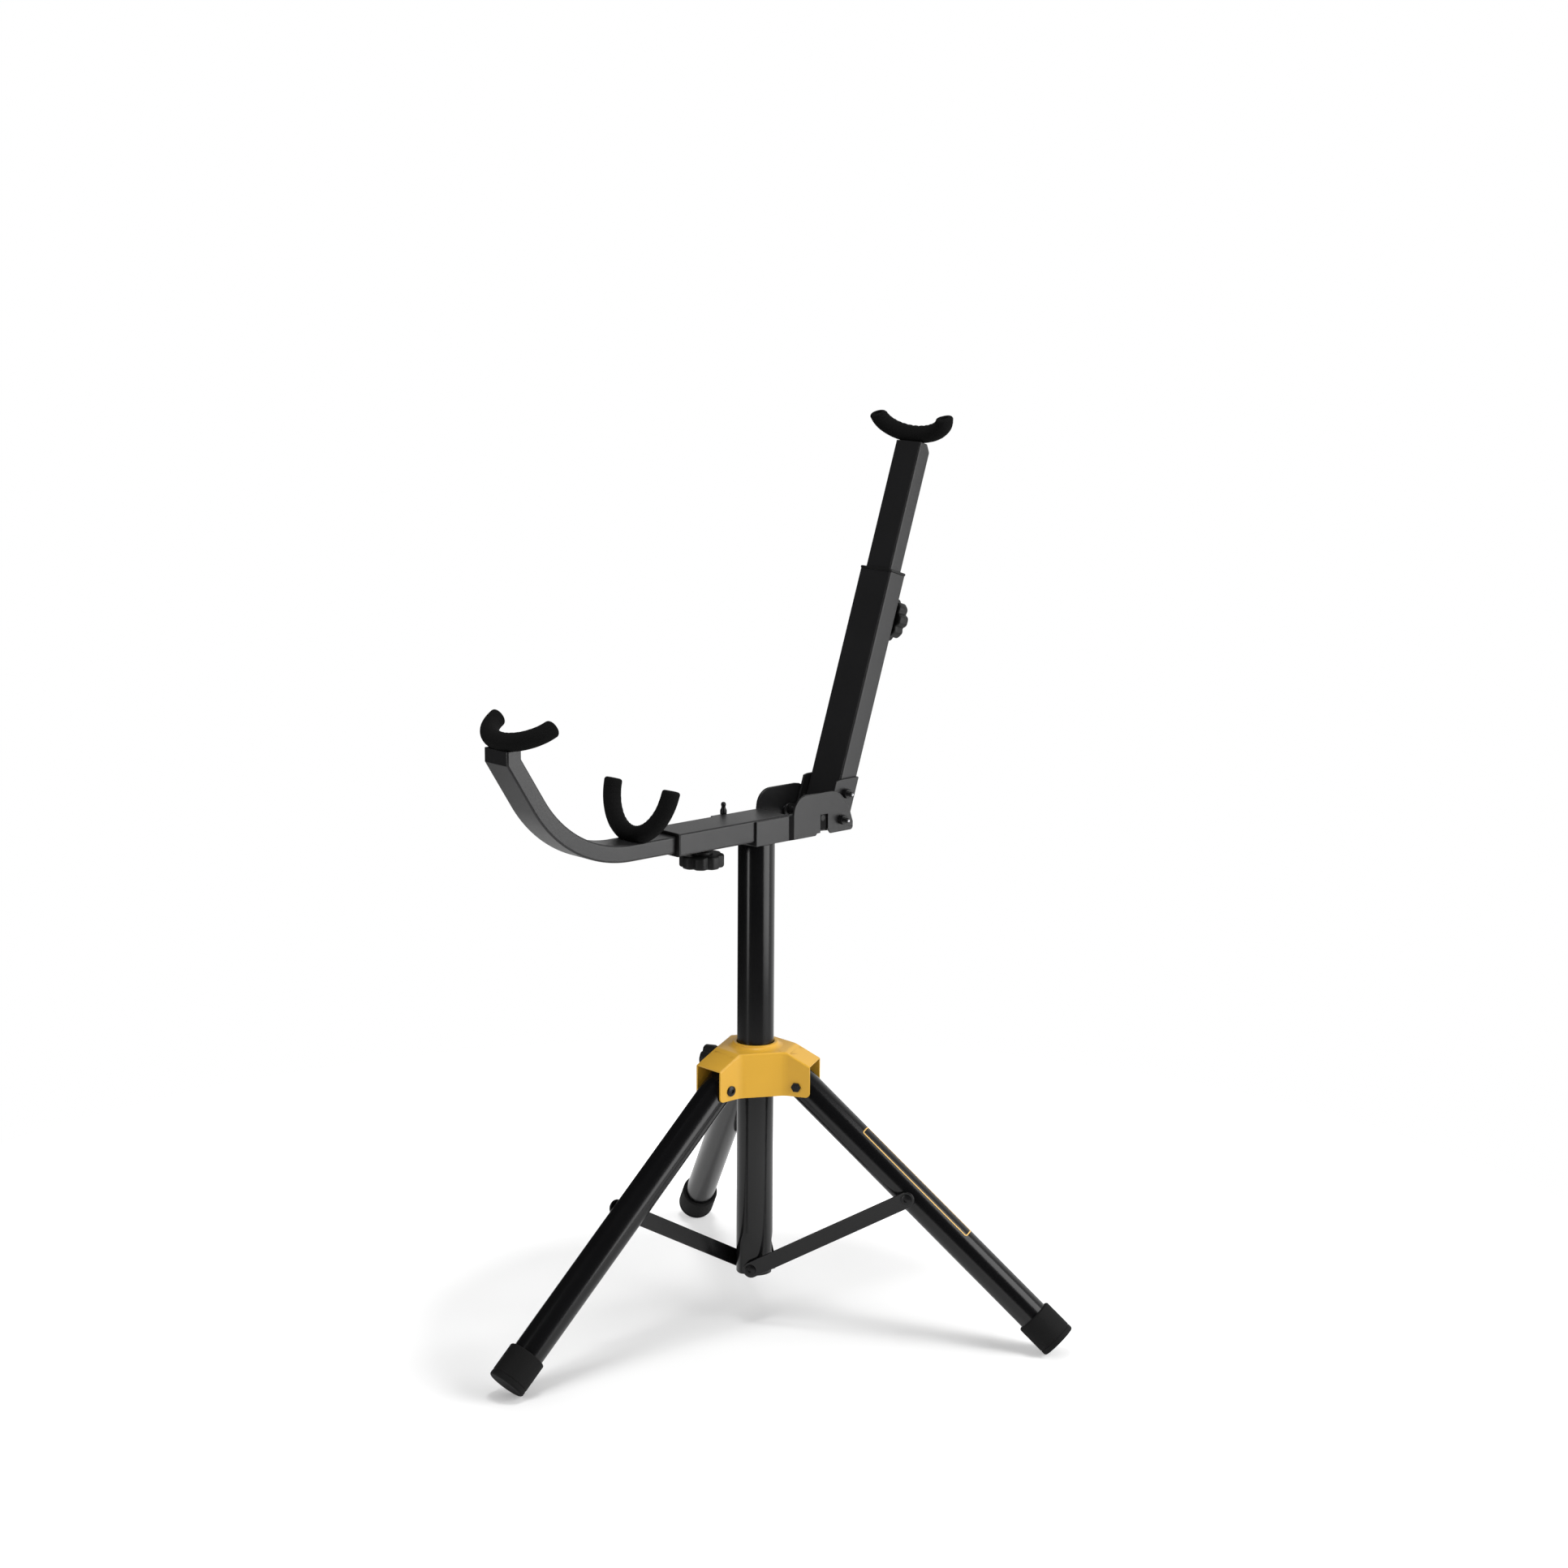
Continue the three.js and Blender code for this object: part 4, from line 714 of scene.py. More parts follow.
def boolean(tree, operation, first, second):
    """What is left of two geometries."""
    made = wire(tree, "GeometryNodeMeshBoolean", operation=operation, solver="EXACT")
    target = made.inputs[0] if operation == "DIFFERENCE" else made.inputs[1]
    tree.links.new(first, target)
    tree.links.new(second, made.inputs[1])
    return made.outputs["Mesh"]


def joined(tree, *geometries):
    """Several geometries as one."""
    made = wire(tree, "GeometryNodeJoinGeometry")
    for geometry in geometries:
        tree.links.new(geometry, made.inputs[0])
    return made.outputs[0]


def rippled(tree, curve, radius, pitch, depth):
    """A rod along a curve whose radius goes in and out."""
    step = calc(tree, "DIVIDE", pitch, RIPPLE_STEPS)
    fine = wire(tree, "GeometryNodeResampleCurve", mode="LENGTH")
    tree.links.new(curve, fine.inputs["Curve"])
    tree.links.new(step, fine.inputs["Length"])
    along = wire(tree, "GeometryNodeSplineParameter").outputs["Length"]
    phase = calc(tree, "MULTIPLY", calc(tree, "DIVIDE", along, pitch), math.pi)
    dip = calc(tree, "MULTIPLY", calc(tree, "ABSOLUTE", calc(tree, "SINE", phase)), depth)
    profile = wire(tree, "GeometryNodeCurvePrimitiveCircle", {"Resolution": BEAD_SIDES, "Radius": radius})
    rod = wire(tree, "GeometryNodeCurveToMesh", {
        "Curve": fine.outputs[0], "Profile Curve": profile.outputs[0],
        "Scale": calc(tree, "SUBTRACT", 1.0, dip), "Fill Caps": True})
    return rod.outputs[0]


def placed_on_points(tree, given, geometry):
    """Copies on the points, each turned to its point's own axis, as one mesh with its material."""
    axis = wire(tree, "GeometryNodeInputNamedAttribute", {"Name": "axis"}, data_type="FLOAT_VECTOR")
    turn = wire(tree, "FunctionNodeAlignRotationToVector", {"Vector": axis.outputs[0]}, axis="Z")
    copies = wire(tree, "GeometryNodeInstanceOnPoints", {
        "Points": given["Geometry"], "Instance": geometry, "Rotation": turn.outputs[0]})
    close_tree(tree, given, copies.outputs[0])


def close_tree(tree, given, geometry):
    """Ends a tree: real geometry with its material."""
    real = wire(tree, "GeometryNodeRealizeInstances", {"Geometry": geometry})
    values = {"Geometry": real.outputs[0], "Material": given["Material"]}
    painted = wire(tree, "GeometryNodeSetMaterial", values)
    wire(tree, "NodeGroupOutput", {"Geometry": painted.outputs[0]})


def bolt_tree():
    """Domed heads with a hexagonal recess, and their shanks below."""
    tree, given = new_tree("Recessed heads", [
        "Head Radius", "Head Height", "Recess Radius", "Recess Depth", "Shank Radius", "Shank Length"])
    wider = calc(tree, "MULTIPLY", given["Head Radius"], HEAD_BALL)
    barrel = cylinder(tree, HEAD_SIDES, given["Head Radius"], given["Head Height"], 0.0)
    head = boolean(tree, "INTERSECT", barrel, crown(tree, wider, given["Head Height"]))
    floor = calc(tree, "SUBTRACT", given["Head Height"], given["Recess Depth"])
    recess = cylinder(tree, HEXAGON, given["Recess Radius"], given["Head Height"], floor)
    below = calc(tree, "MULTIPLY", given["Shank Length"], -1.0)
    shank = cylinder(tree, SHANK_SIDES, given["Shank Radius"], given["Shank Length"], below)
    placed_on_points(tree, given, joined(tree, boolean(tree, "DIFFERENCE", head, recess), shank))
    return tree


def nut_tree():
    """Chamfered hexagonal nuts with a threaded tip in them."""
    tree, given = new_tree("Hexagonal nuts", [
        "Corner Radius", "Nut Height", "Thread Radius", "Thread Length", "Thread Pitch"])
    wider = calc(tree, "MULTIPLY", given["Corner Radius"], NUT_BALL[0])
    taller = calc(tree, "MULTIPLY", given["Nut Height"], NUT_BALL[1])
    rise = calc(tree, "MULTIPLY", given["Nut Height"], NUT_BALL_RISE)
    ball = moved(tree, crown(tree, wider, taller), rise)
    prism = cylinder(tree, HEXAGON, given["Corner Radius"], given["Nut Height"], 0.0)
    nut = boolean(tree, "INTERSECT", prism, ball)
    end = wire(tree, "ShaderNodeCombineXYZ", {"Z": given["Thread Length"]})
    line = wire(tree, "GeometryNodeCurvePrimitiveLine", {"End": end.outputs[0]})
    thread = rippled(tree, line.outputs[0], given["Thread Radius"], given["Thread Pitch"], THREAD_RIPPLE)
    placed_on_points(tree, given, joined(tree, nut, thread))
    return tree


def weld_tree():
    """A rippled weld bead along the edges of a path."""
    tree, given = new_tree("Weld bead", ["Bead Radius", "Ripple"])
    path = wire(tree, "GeometryNodeMeshToCurve", {"Mesh": given["Geometry"]})
    bead = rippled(tree, path.outputs[0], given["Bead Radius"], given["Ripple"], BEAD_RIPPLE)
    close_tree(tree, given, bead)
    return tree


def grown(name, tree, host, values, body, slot, replaced=()):
    """Runs a tree on a host mesh and keeps the result as a plain piece."""
    piece = link(name, host)
    modifier = piece.modifiers.new("Growth", "NODES")
    modifier.node_group = tree
    values = {**values, "Material": finish(slot)}
    for socket in tree.interface.items_tree:
        if socket.in_out == "INPUT" and socket.name in values:
            modifier[socket.identifier] = values[socket.name]
    graph = bpy.context.evaluated_depsgraph_get()
    mesh = bpy.data.meshes.new_from_object(piece.evaluated_get(graph), depsgraph=graph)
    piece.modifiers.remove(modifier)
    piece.data = mesh
    mesh.shade_smooth()
    mesh.set_sharp_from_angle(angle=SHARP_ANGLE)
    if not mesh.polygons:
        raise RuntimeError(f"{name} came out empty")
    return ride(piece, body, replaced)


def pointed(name, points):
    """A host mesh of points that each carry an axis."""
    mesh = bpy.data.meshes.new(name)
    mesh.from_pydata([place for place, _ in points], [], [])
    axes = mesh.attributes.new("axis", "FLOAT_VECTOR", "POINT")
    axes.data.foreach_set("vector", [value for _, axis in points for value in axis])
    return mesh


def path_mesh(name, points, closed):
    """A host mesh of edges along a path."""
    count = len(points)
    edges = [(i, (i + 1) % count) for i in range(count if closed else count - 1)]
    mesh = bpy.data.meshes.new(name)
    mesh.from_pydata(points, edges, [])
    return mesh


# Operators, one for each group of pieces

class STAND_OT_post(bpy.types.Operator):
    """Adds the centre post with its pressed flats"""

    bl_idname = "stand.post"
    bl_label = "Add Post"

    def execute(self, context):
        sizes = context.scene.stand_tubes
        low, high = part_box("center_post")
        radius = width_of("center_post") / 2
        inner = radius - sizes.post_wall
        ramp_top = low.z + sizes.flat_height + sizes.flat_ramp
        levels = [low.z, low.z + sizes.flat_height]
        levels += [levels[1] + sizes.flat_ramp * i / CORNER_STEPS for i in range(1, CORNER_STEPS + 1)]
        levels.append(high.z)
        profile = [(radius, z) for z in levels] + [(inner, z) for z in reversed(levels)]
        bm = turned(profile, post_place(), ring=True)
        centre = post_place().translation
        for vertex in bm.verts:
            flat = vertex.co - centre
            wall = 0 if Vector((flat.x, flat.y)).length > (radius + inner) / 2 else sizes.post_wall
            run_out = min(1.0, max(0.0, (ramp_top - vertex.co.z) / sizes.flat_ramp))
            limit = radius - wall - sizes.flat_depth * run_out
            for side in SIDES:
                out = -axis_of(f"leg_fold_{side}")
                excess = flat.dot(out) - limit
                if run_out and excess > 0:
                    vertex.co -= excess * out
        add_piece("post", bm, "base", "gloss_black", ["center_post"], sizes.edge)
        return {"FINISHED"}


class STAND_OT_legs(bpy.types.Operator):
    """Adds the three legs and their rubber feet"""

    bl_idname = "stand.legs"
    bl_label = "Add Legs"

    def execute(self, context):
        sizes = context.scene.stand_tubes
        for side in SIDES:
            place = leg_place(side, sizes.leg_slope) @ ALONG_X
            self.add_leg(side, sizes, place)
            self.add_foot(side, sizes, place)
        self.add_trim(context.scene.stand_trim, sizes.leg_radius, leg_place("left", sizes.leg_slope))
        return {"FINISHED"}

    def add_leg(self, side, sizes, place):
        """A round tube."""
        outer, inner = sizes.leg_radius, sizes.leg_radius - sizes.leg_wall
        start, end = -sizes.leg_head, sizes.leg_length - sizes.foot_sole
        bm = turned([(outer, start), (outer, end), (inner, end), (inner, start)], place, ring=True)
        add_piece(f"leg_tube_{side}", bm, f"leg_{side}", "gloss_black", [f"leg_{side}"], sizes.edge)

    def add_foot(self, side, sizes, place):
        """A rubber cap with a soft rim, pressed flat where it meets the floor."""
        radius, edge = sizes.foot_radius, sizes.foot_edge
        start, end = sizes.leg_length - sizes.foot_length, sizes.leg_length
        rim = [(radius - edge + x, start + edge + y) for x, y in arc((0, 0), edge, -90, 0, CORNER_STEPS)]
        sole = [(radius - edge + x, end - edge + y) for x, y in arc((0, 0), edge, 0, 90, CORNER_STEPS)]
        face = [(radius * share, end) for share in SOLE_RINGS]
        tread = end - sizes.foot_sole
        groove = [(radius - deep, tread + past) for deep, past in FOOT_GROOVE]
        mouth_depth, mouth_flare = FOOT_MOUTH
        inside = [(sizes.leg_radius, start + mouth_depth), (sizes.leg_radius + mouth_flare, start)]
        bottom = [(sizes.leg_radius, tread)]
        bm = turned(bottom + inside + rim + groove + sole + face, place)
        for vertex in bm.verts:
            vertex.co.z = max(vertex.co.z, 0.0)
        add_piece(f"rubber_foot_{side}", bm, f"leg_{side}", "rubber", [f"foot_{side}"])

    def add_trim(self, sizes, leg_radius, place):
        """A plain painted frame, bent round the leg where its label place is."""
        radius = leg_radius + sizes.lift
        outer, inner = [
            finer(rectangle(sizes.width - inset, sizes.extent - inset, sizes.corner - inset / 2), TRIM_STEPS)
            for inset in (0, 2 * sizes.line)]

        def on_leg(point, lift):
            turn = sizes.turn + point[1] / radius
            out = radius + lift
            return place @ Vector((sizes.along + point[0], out * math.sin(turn), out * math.cos(turn)))

        bm = bmesh.new()
        loops = [[on_leg(p, 0) for p in outer], [on_leg(p, sizes.thickness) for p in outer],
                 [on_leg(p, sizes.thickness) for p in inner], [on_leg(p, 0) for p in inner]]
        loft(bm, loops, ring=True)
        piece = add_piece("leg_trim_frame", bm, "leg_left", "gloss_black")
        piece.data.materials[0] = finish("trim")


def finer(points, parts):
    """An outline with each stretch divided into parts."""
    pairs = zip(points, points[1:] + points[:1])
    return [(a[0] + (b[0] - a[0]) * i / parts, a[1] + (b[1] - a[1]) * i / parts)
            for a, b in pairs for i in range(parts)]


class STAND_OT_braces(bpy.types.Operator):
    """Adds the flat braces between the post and the legs"""

    bl_idname = "stand.braces"
    bl_label = "Add Braces"

    def execute(self, context):
        for side in SIDES:
            self.add_brace(side, context.scene.stand_tubes.edge)
        return {"FINISHED"}

    def add_brace(self, side, edge):
        """A flat bar with round ends, beside the post and the leg."""
        out = -axis_of(f"leg_fold_{side}")
        inner = anchor(f"brace_turn_{side}")
        near, far = reach(f"brace_{side}", out, inner)
        run = reach(f"brace_{side}", leg_turn(side) @ FORWARD, inner)
        climb = reach(f"brace_{side}", UP, inner)
        half = -climb[0]
        end = Vector((run[1] - half, climb[1] - half))
        tilt = math.atan2(end.y, end.x)
        turn = leg_turn(side) @ Matrix.Rotation(-tilt, 4, "Y") @ Matrix.Rotation(math.pi / 2, 4, "X")
        place = Matrix.Translation(inner) @ turn
        points = arc((end.length, 0), half, -90, 90, SMALL_STEPS) + arc((0, 0), half, 90, 270, SMALL_STEPS)
        bm = extruded(points, near, far, place)
        add_piece(f"brace_bar_{side}", bm, f"brace_{side}", "gloss_black", [f"brace_{side}"], 2 * edge)


class STAND_OT_hub(bpy.types.Operator):
    """Adds the pressed hub with its collar"""

    bl_idname = "stand.hub"
    bl_label = "Add Hub"

    def execute(self, context):
        sizes = context.scene.stand_hub
        pivot = anchor("leg_fold_front").z
        top, bottom = pivot + sizes.top_rise, pivot - sizes.drop
        self.add_cover(sizes, top, bottom)
        self.add_collar(sizes, top, bottom)
        return {"FINISHED"}

    def add_cover(self, sizes, top, bottom):
        """One sheet: a flat top, slopes over the legs, flanges beside them and faces between."""
        bm = bmesh.new()
        corners = {}

        def corner(place, local):
            point = place @ Vector(local)
            key = tuple(round(value, KEY_DIGITS) for value in point)
            if key not in corners:
                corners[key] = bm.verts.new(point)
            return corners[key]

        end_top = top - (sizes.reach - sizes.fold_radius) * math.tan(sizes.slope)
        places = [post_place() @ leg_turn(side) for side in SIDES]
        rim = []
        round_centre = (sizes.reach - sizes.corner, bottom + sizes.corner)
        low_corner = arc(round_centre, sizes.corner, -90, 0, CORNER_STEPS)
        flange = [(sizes.fold_radius, bottom), *low_corner, (sizes.reach, end_top), (sizes.fold_radius, top)]
        for place in places:
            for side in (-sizes.side, sizes.side):
                bm.faces.new([corner(place, (x, side, z)) for x, z in flange])
                rim.append(corner(place, (sizes.fold_radius, side, top)))
            slope = [(sizes.fold_radius, -sizes.side, top), (sizes.reach, -sizes.side, end_top),
                     (sizes.reach, sizes.side, end_top), (sizes.fold_radius, sizes.side, top)]
            bm.faces.new([corner(place, point) for point in slope])
        for i, place in enumerate(places):
            onward = places[(i + 1) % len(places)]
            bm.faces.new([corner(place, (sizes.fold_radius, sizes.side, bottom)),
                          corner(onward, (sizes.fold_radius, -sizes.side, bottom)),
                          corner(onward, (sizes.fold_radius, -sizes.side, top)),
                          corner(place, (sizes.fold_radius, sizes.side, top))])
        self.add_top(bm, rim, sizes.sleeve, top)
        bmesh.ops.recalc_face_normals(bm, faces=bm.faces)
        self.weigh_folds(bm, bottom, sizes.crisp)
        piece = add_piece("hub_cover", bm, "hub", "hub_yellow", ["tripod_hub"])
        round_edges(piece, sizes.fold, weighted=True)
        wall = piece.modifiers.new("Sheet", "SOLIDIFY")
        wall.thickness = sizes.sheet
        wall.offset = -1
        wall.use_even_offset = True
        round_edges(piece, bpy.context.scene.stand_tubes.edge)
        even_shading(piece)

    def weigh_folds(self, bm, bottom, crisp):
        """Marks the folds to round: fully where they reach the bottom edge, and crisper elsewhere."""
        weights = bm.edges.layers.float.new("bevel_weight_edge")
        for edge in bm.edges:
            if len(edge.link_faces) == 2 and edge.calc_face_angle() > FLAT_ANGLE:
                at_bottom = [abs(vertex.co.z - bottom) < MERGE_DISTANCE for vertex in edge.verts]
                edge[weights] = 1.0 if any(at_bottom) else crisp

    def add_top(self, bm, rim, radius, height):
        """The flat top between its six corners and the opening round the post."""
        centre = middle("center_post")
        steps = ROUND_STEPS // len(rim)
        turns = [math.atan2(v.co.y, v.co.x - centre.x) for v in rim]
        order = sorted(range(len(rim)), key=lambda i: turns[i])
        starts = [turns[i] for i in order] + [turns[order[0]] + 2 * math.pi]
        opening = []
        for start, end in zip(starts, starts[1:]):
            for i in range(steps):
                turn = start + (end - start) * i / steps
                point = (centre.x + radius * math.cos(turn), radius * math.sin(turn), height)
                opening.append(bm.verts.new(point))
        for i, index in enumerate(order):
            onward = order[(i + 1) % len(order)]
            inner = [opening[(i * steps + k) % len(opening)] for k in range(steps, -1, -1)]
            bm.faces.new([rim[index], rim[onward], *inner])

    def add_collar(self, sizes, top, bottom):
        """A drawn collar that flares up to a lip over the bushing, and the sleeve under it."""
        lip = top + sizes.collar_rise
        flare = [(sizes.neck + out * (sizes.collar_radius - sizes.neck), top + up * sizes.collar_rise)
                 for out, up in COLLAR_FLARE]
        edge = sizes.lip_edge
        rim = arc((sizes.neck - edge, lip - edge), edge, 0, 90, CORNER_STEPS)
        rim += arc((sizes.opening + edge, lip - edge), edge, 90, 180, CORNER_STEPS)
        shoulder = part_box("hub_bushing")[1].z + bpy.context.scene.stand_tubes.edge
        under = top - sizes.sheet / 2
        sleeve = [(sizes.bore, bottom), (sizes.sleeve, bottom), (sizes.sleeve, under)]
        profile = [(sizes.collar_radius, under), *flare, *rim, (sizes.opening, shoulder),
                   (sizes.bore, shoulder), *sleeve]
        bm = turned(profile, post_place(), ring=True)
        add_piece("hub_collar", bm, "hub", "hub_yellow")


class STAND_OT_head(bpy.types.Operator):
    """Adds the hinge bracket, the socket tube, its liner, the lug and the stud"""

    bl_idname = "stand.head"
    bl_label = "Add Head"

    def execute(self, context):
        sizes = context.scene.stand_tubes
        refined("bracket", "hinge_bracket", "base", "textured_black", BRACKET_ROUNDING * sizes.edge)
        refined("lug", "side_lug", "base", "textured_black", sizes.edge)
        place = socket_place()
        add_tube("socket", "base", "socket_tube", sizes, place)
        add_liner("socket_mouth", "base", "socket_liner", sizes, place)
        self.add_stud()
        return {"FINISHED"}

    def add_stud(self):
        """The domed stud, turned with a waist."""
        low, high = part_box("side_stud")
        radius = (high.x - low.x) / 2
        height = high.z - low.z
        centre = middle("side_stud")
        place = Matrix.Translation((centre.x, centre.y, low.z))
        bm = turned([(out * radius, up * height) for out, up in STUD_OUTLINE], place)
        add_piece("stud", bm, "base", "black_steel", ["side_stud"])


def add_tube(name, body, node, sizes, place):
    """A rectangular tube in place of its CAD node, with its ends and its size across from the node."""
    start, end = run_of(node, place)
    width, height = size_across(node, place)
    outer = rectangle(width, height, sizes.corner)
    inner = rectangle(width - 2 * sizes.wall, height - 2 * sizes.wall, sizes.corner - sizes.wall / 2)
    loops = [section(outer, start, place), section(outer, end, place),
             section(inner, end, place), section(inner, start, place)]
    bm = bmesh.new()
    loft(bm, loops, ring=True)
    return add_piece(name, bm, body, "textured_black", [node], sizes.edge)


def add_liner(name, body, node, sizes, place):
    """A tube's plastic liner: a lip that stands a little proud of the mouth, and the sleeve inside."""
    low, high = run_of(node, place)
    mouth = high - sizes.lip
    width, height = size_across(node, place)
    bore_width, bore_height = size_across(TUBE_IN_LINER[node], place)
    bore_height = min(bore_height, sizes.inner_height)
    proud, gap, wall = 2 * sizes.lip_proud, 2 * sizes.edge, 2 * sizes.wall
    bore = rectangle(bore_width + gap, bore_height + gap, sizes.corner / 2)
    lip = rectangle(width + proud, height + proud, sizes.corner + sizes.lip_proud)
    sleeve = rectangle(width - wall - gap, height - wall - gap, sizes.corner - sizes.wall / 2)
    stations = [(bore, high), (lip, high), (lip, mouth), (sleeve, mouth), (sleeve, low), (bore, low)]
    bm = bmesh.new()
    loft(bm, [section(points, along_it, place) for points, along_it in stations], ring=True)
    return add_piece(name, bm, body, "plastic", [node], 2 * sizes.edge)


class STAND_OT_arm(bpy.types.Operator):
    """Adds the bent front arm"""

    bl_idname = "stand.arm"
    bl_label = "Add Front Arm"

    def execute(self, context):
        sizes, tubes = context.scene.stand_arm, context.scene.stand_tubes
        width = width_of("front_arm")
        height = tubes.inner_height
        wall = 2 * tubes.wall
        outer = rectangle(width, height, tubes.corner)
        inner = rectangle(width - wall, height - wall, tubes.corner / 2)
        stations = arm_stations(sizes)
        end, facing_end = stations[-1]
        hollow = stations[:-1] + [(end - tubes.wall * UP, facing_end)]
        loops = [self.loop(inner, *station) for station in reversed(hollow)]
        loops += [self.loop(outer, *station) for station in stations]
        bm = bmesh.new()
        loft(bm, loops)
        add_piece("arm", bm, "arm", "textured_black", ["front_arm"], tubes.edge)
        return {"FINISHED"}

    def loop(self, points, centre, upward):
        """An outline across the arm's line, its height along upward."""
        return [centre + x * upward + y * SIDEWAYS for x, y in points]


def arm_stations(sizes):
    """The arm's middle line: places with the direction across the tube's height."""
    height = middle("socket_tube").z
    bend = Vector((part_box("socket_tube")[1].x + sizes.straight, 0, height))
    stations = [(Vector((middle("center_post").x - sizes.tail, 0, height)), UP)]
    for i in range(BEND_STEPS + 1):
        turn = sizes.rise * i / BEND_STEPS
        offset = Vector((math.sin(turn), 0, 1 - math.cos(turn))) * sizes.bend_radius
        stations.append((bend + offset, Vector((-math.sin(turn), 0, math.cos(turn)))))
    knee = stations[-1][0] + sizes.slant * Vector((math.cos(sizes.rise), 0, math.sin(sizes.rise)))
    half_turn = (math.pi / 2 - sizes.rise) / 2
    mitre = Vector((-math.cos(half_turn), 0, math.sin(half_turn))) / math.cos(half_turn)
    stations.append((knee, mitre))
    stations.append((knee + sizes.end * UP, -FORWARD))
    return stations


class STAND_OT_backrest(bpy.types.Operator):
    """Adds the clevis, the two backrest tubes, the liner, and the stop pin with its dark pads, painted shade in
    the notches
    """

    bl_idname = "stand.backrest"
    bl_label = "Add Backrest"

    def execute(self, context):
        tubes, sizes = context.scene.stand_tubes, context.scene.stand_arm
        refined("clevis", "backrest_clevis", "base", "textured_black", 1.5 * tubes.edge)
        place = tube_place("backrest_outer_tube")
        add_tube("backrest_lower", "lower_backrest", "backrest_outer_tube", tubes, place)
        add_liner("backrest_mouth", "lower_backrest", "backrest_liner", tubes, place)
        self.add_inner(tubes, sizes, place)
        self.add_stop_pin(context.scene.stand_fasteners, tubes.edge)
        return {"FINISHED"}

    def add_inner(self, tubes, sizes, place):
        """The inner tube: open below, closed above with a bevelled back edge."""
        start, end = run_of("backrest_inner_tube", place)
        width = width_of("backrest_inner_tube")
        wall = 2 * tubes.wall
        outer = rectangle(width, tubes.inner_height, tubes.corner)
        inner = rectangle(width - wall, tubes.inner_height - wall, tubes.corner / 2)
        plug = end - 2 * sizes.bevel_along
        loops = [section(inner, plug, place), section(inner, start, place),
                 section(outer, start, place), section(outer, end, place)]
        bm = bmesh.new()
        loft(bm, loops)
        back = -tubes.inner_height / 2
        on_plane = place @ Vector((back + sizes.bevel_depth, 0, end))
        normal = place.to_3x3() @ Vector((-sizes.bevel_along, 0, sizes.bevel_depth)).normalized()
        cut = bmesh.ops.bisect_plane(bm, geom=bm.verts[:] + bm.edges[:] + bm.faces[:],
                                     plane_co=on_plane, plane_no=normal, clear_outer=True)
        edges = [item for item in cut["geom_cut"] if isinstance(item, bmesh.types.BMEdge)]
        bmesh.ops.contextual_create(bm, geom=edges)
        add_piece("backrest_upper", bm, "upper_backrest", "textured_black", ["backrest_inner_tube"],
                  tubes.edge)

    def add_stop_pin(self, sizes, edge):
        """A pin with softened ends, and the dark pad that it carries in each cheek's notch: painted shade, a
        rubber-finish plate that stands in for the notch's shadow.
        """
        low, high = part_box("stop_pin")
        place = facing(middle("stop_pin"), SIDEWAYS)
        radius, half = (high.z - low.z) / 2, (high.y - low.y) / 2 - sizes.pin_recess
        bm = turned([(radius, -half), (radius, half)], place)
        add_piece("stop_bar", bm, "base", "black_steel", ["stop_pin"], 2 * edge)
        # Painted shade: a dark rubber-finish pad fills each notch, where the real stand shows only shadow
        hang = place @ Matrix.Translation((0, radius - sizes.shade_pad_height / 2, 0))
        face = half - sizes.pin_proud
        points = rectangle(sizes.shade_pad_height, sizes.shade_pad_width, sizes.shade_pad_corner)
        bm = bmesh.new()
        for side in (-1, 1):
            loft(bm, [section(points, side * out, hang) for out in (face - sizes.shade_pad_depth, face)])
        add_piece("stop_pads", bm, "base", "rubber", rounding=edge)


def tube_place(node):
    """The backrest's place moved to the middle of one of its tubes."""
    place = backrest_place()
    low, high = reach(node, place.to_3x3() @ FORWARD, place.translation)
    return place @ Matrix.Translation(((low + high) / 2, 0, 0))


class STAND_OT_yokes(bpy.types.Operator):
    """Adds the foam sleeves of the three padded yokes"""

    bl_idname = "stand.yokes"
    bl_label = "Add Padded Yokes"

    def execute(self, context):
        sizes = context.scene.stand_yokes
        arm_end = arm_stations(context.scene.stand_arm)[-1][0]
        arm_top = middle("socket_tube").z + context.scene.stand_tubes.inner_height / 2
        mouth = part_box("socket_tube")[1].x
        tube = tube_place("backrest_outer_tube")
        along = tube.to_3x3() @ UP
        top = run_of("backrest_inner_tube", tube)[1]
        lean = -math.atan2(along.x, along.z)
        seats = {
            "front": (Matrix.Translation(arm_end + sizes.front_forward * FORWARD), "arm", 0.0),
            "middle": (Matrix.Translation((mouth + sizes.middle_forward, 0, arm_top)), "arm", 0.0),
            "top": (tube @ Matrix.Translation((sizes.top_forward, 0, top)), "upper_backrest", lean),
        }
        for name, (seat, body, turn) in seats.items():
            shape = [getattr(sizes, f"{name}_{key}") for key in ("half_width", "depth", "stand", "tilt")]
            self.add_foam(name, seat, body, shape, turn, sizes)
        return {"FINISHED"}

    def add_foam(self, name, seat, body, shape, turn, sizes):
        """A bent foam sleeve: soft ends with a hollow, creases inside the bend, flat where it is seated."""
        half_width, depth, stand, tilt = shape
        tilted = Matrix.Translation((0, 0, stand)) @ Matrix.Rotation(tilt + turn, 4, "Y")
        bm = bmesh.new()
        loft(bm, [foam_loop(*station, half_width, depth, sizes) for station in foam_stations(sizes, depth)])
        for vertex in bm.verts:
            point = tilted @ vertex.co
            if abs(point.y) < sizes.seat_width / 2:
                point.z = max(point.z, sizes.seat_gap)
            vertex.co = seat @ point
        piece = add_piece(f"{name}_foam_sleeve", bm, body, "foam", [f"{name}_yoke_foam"])


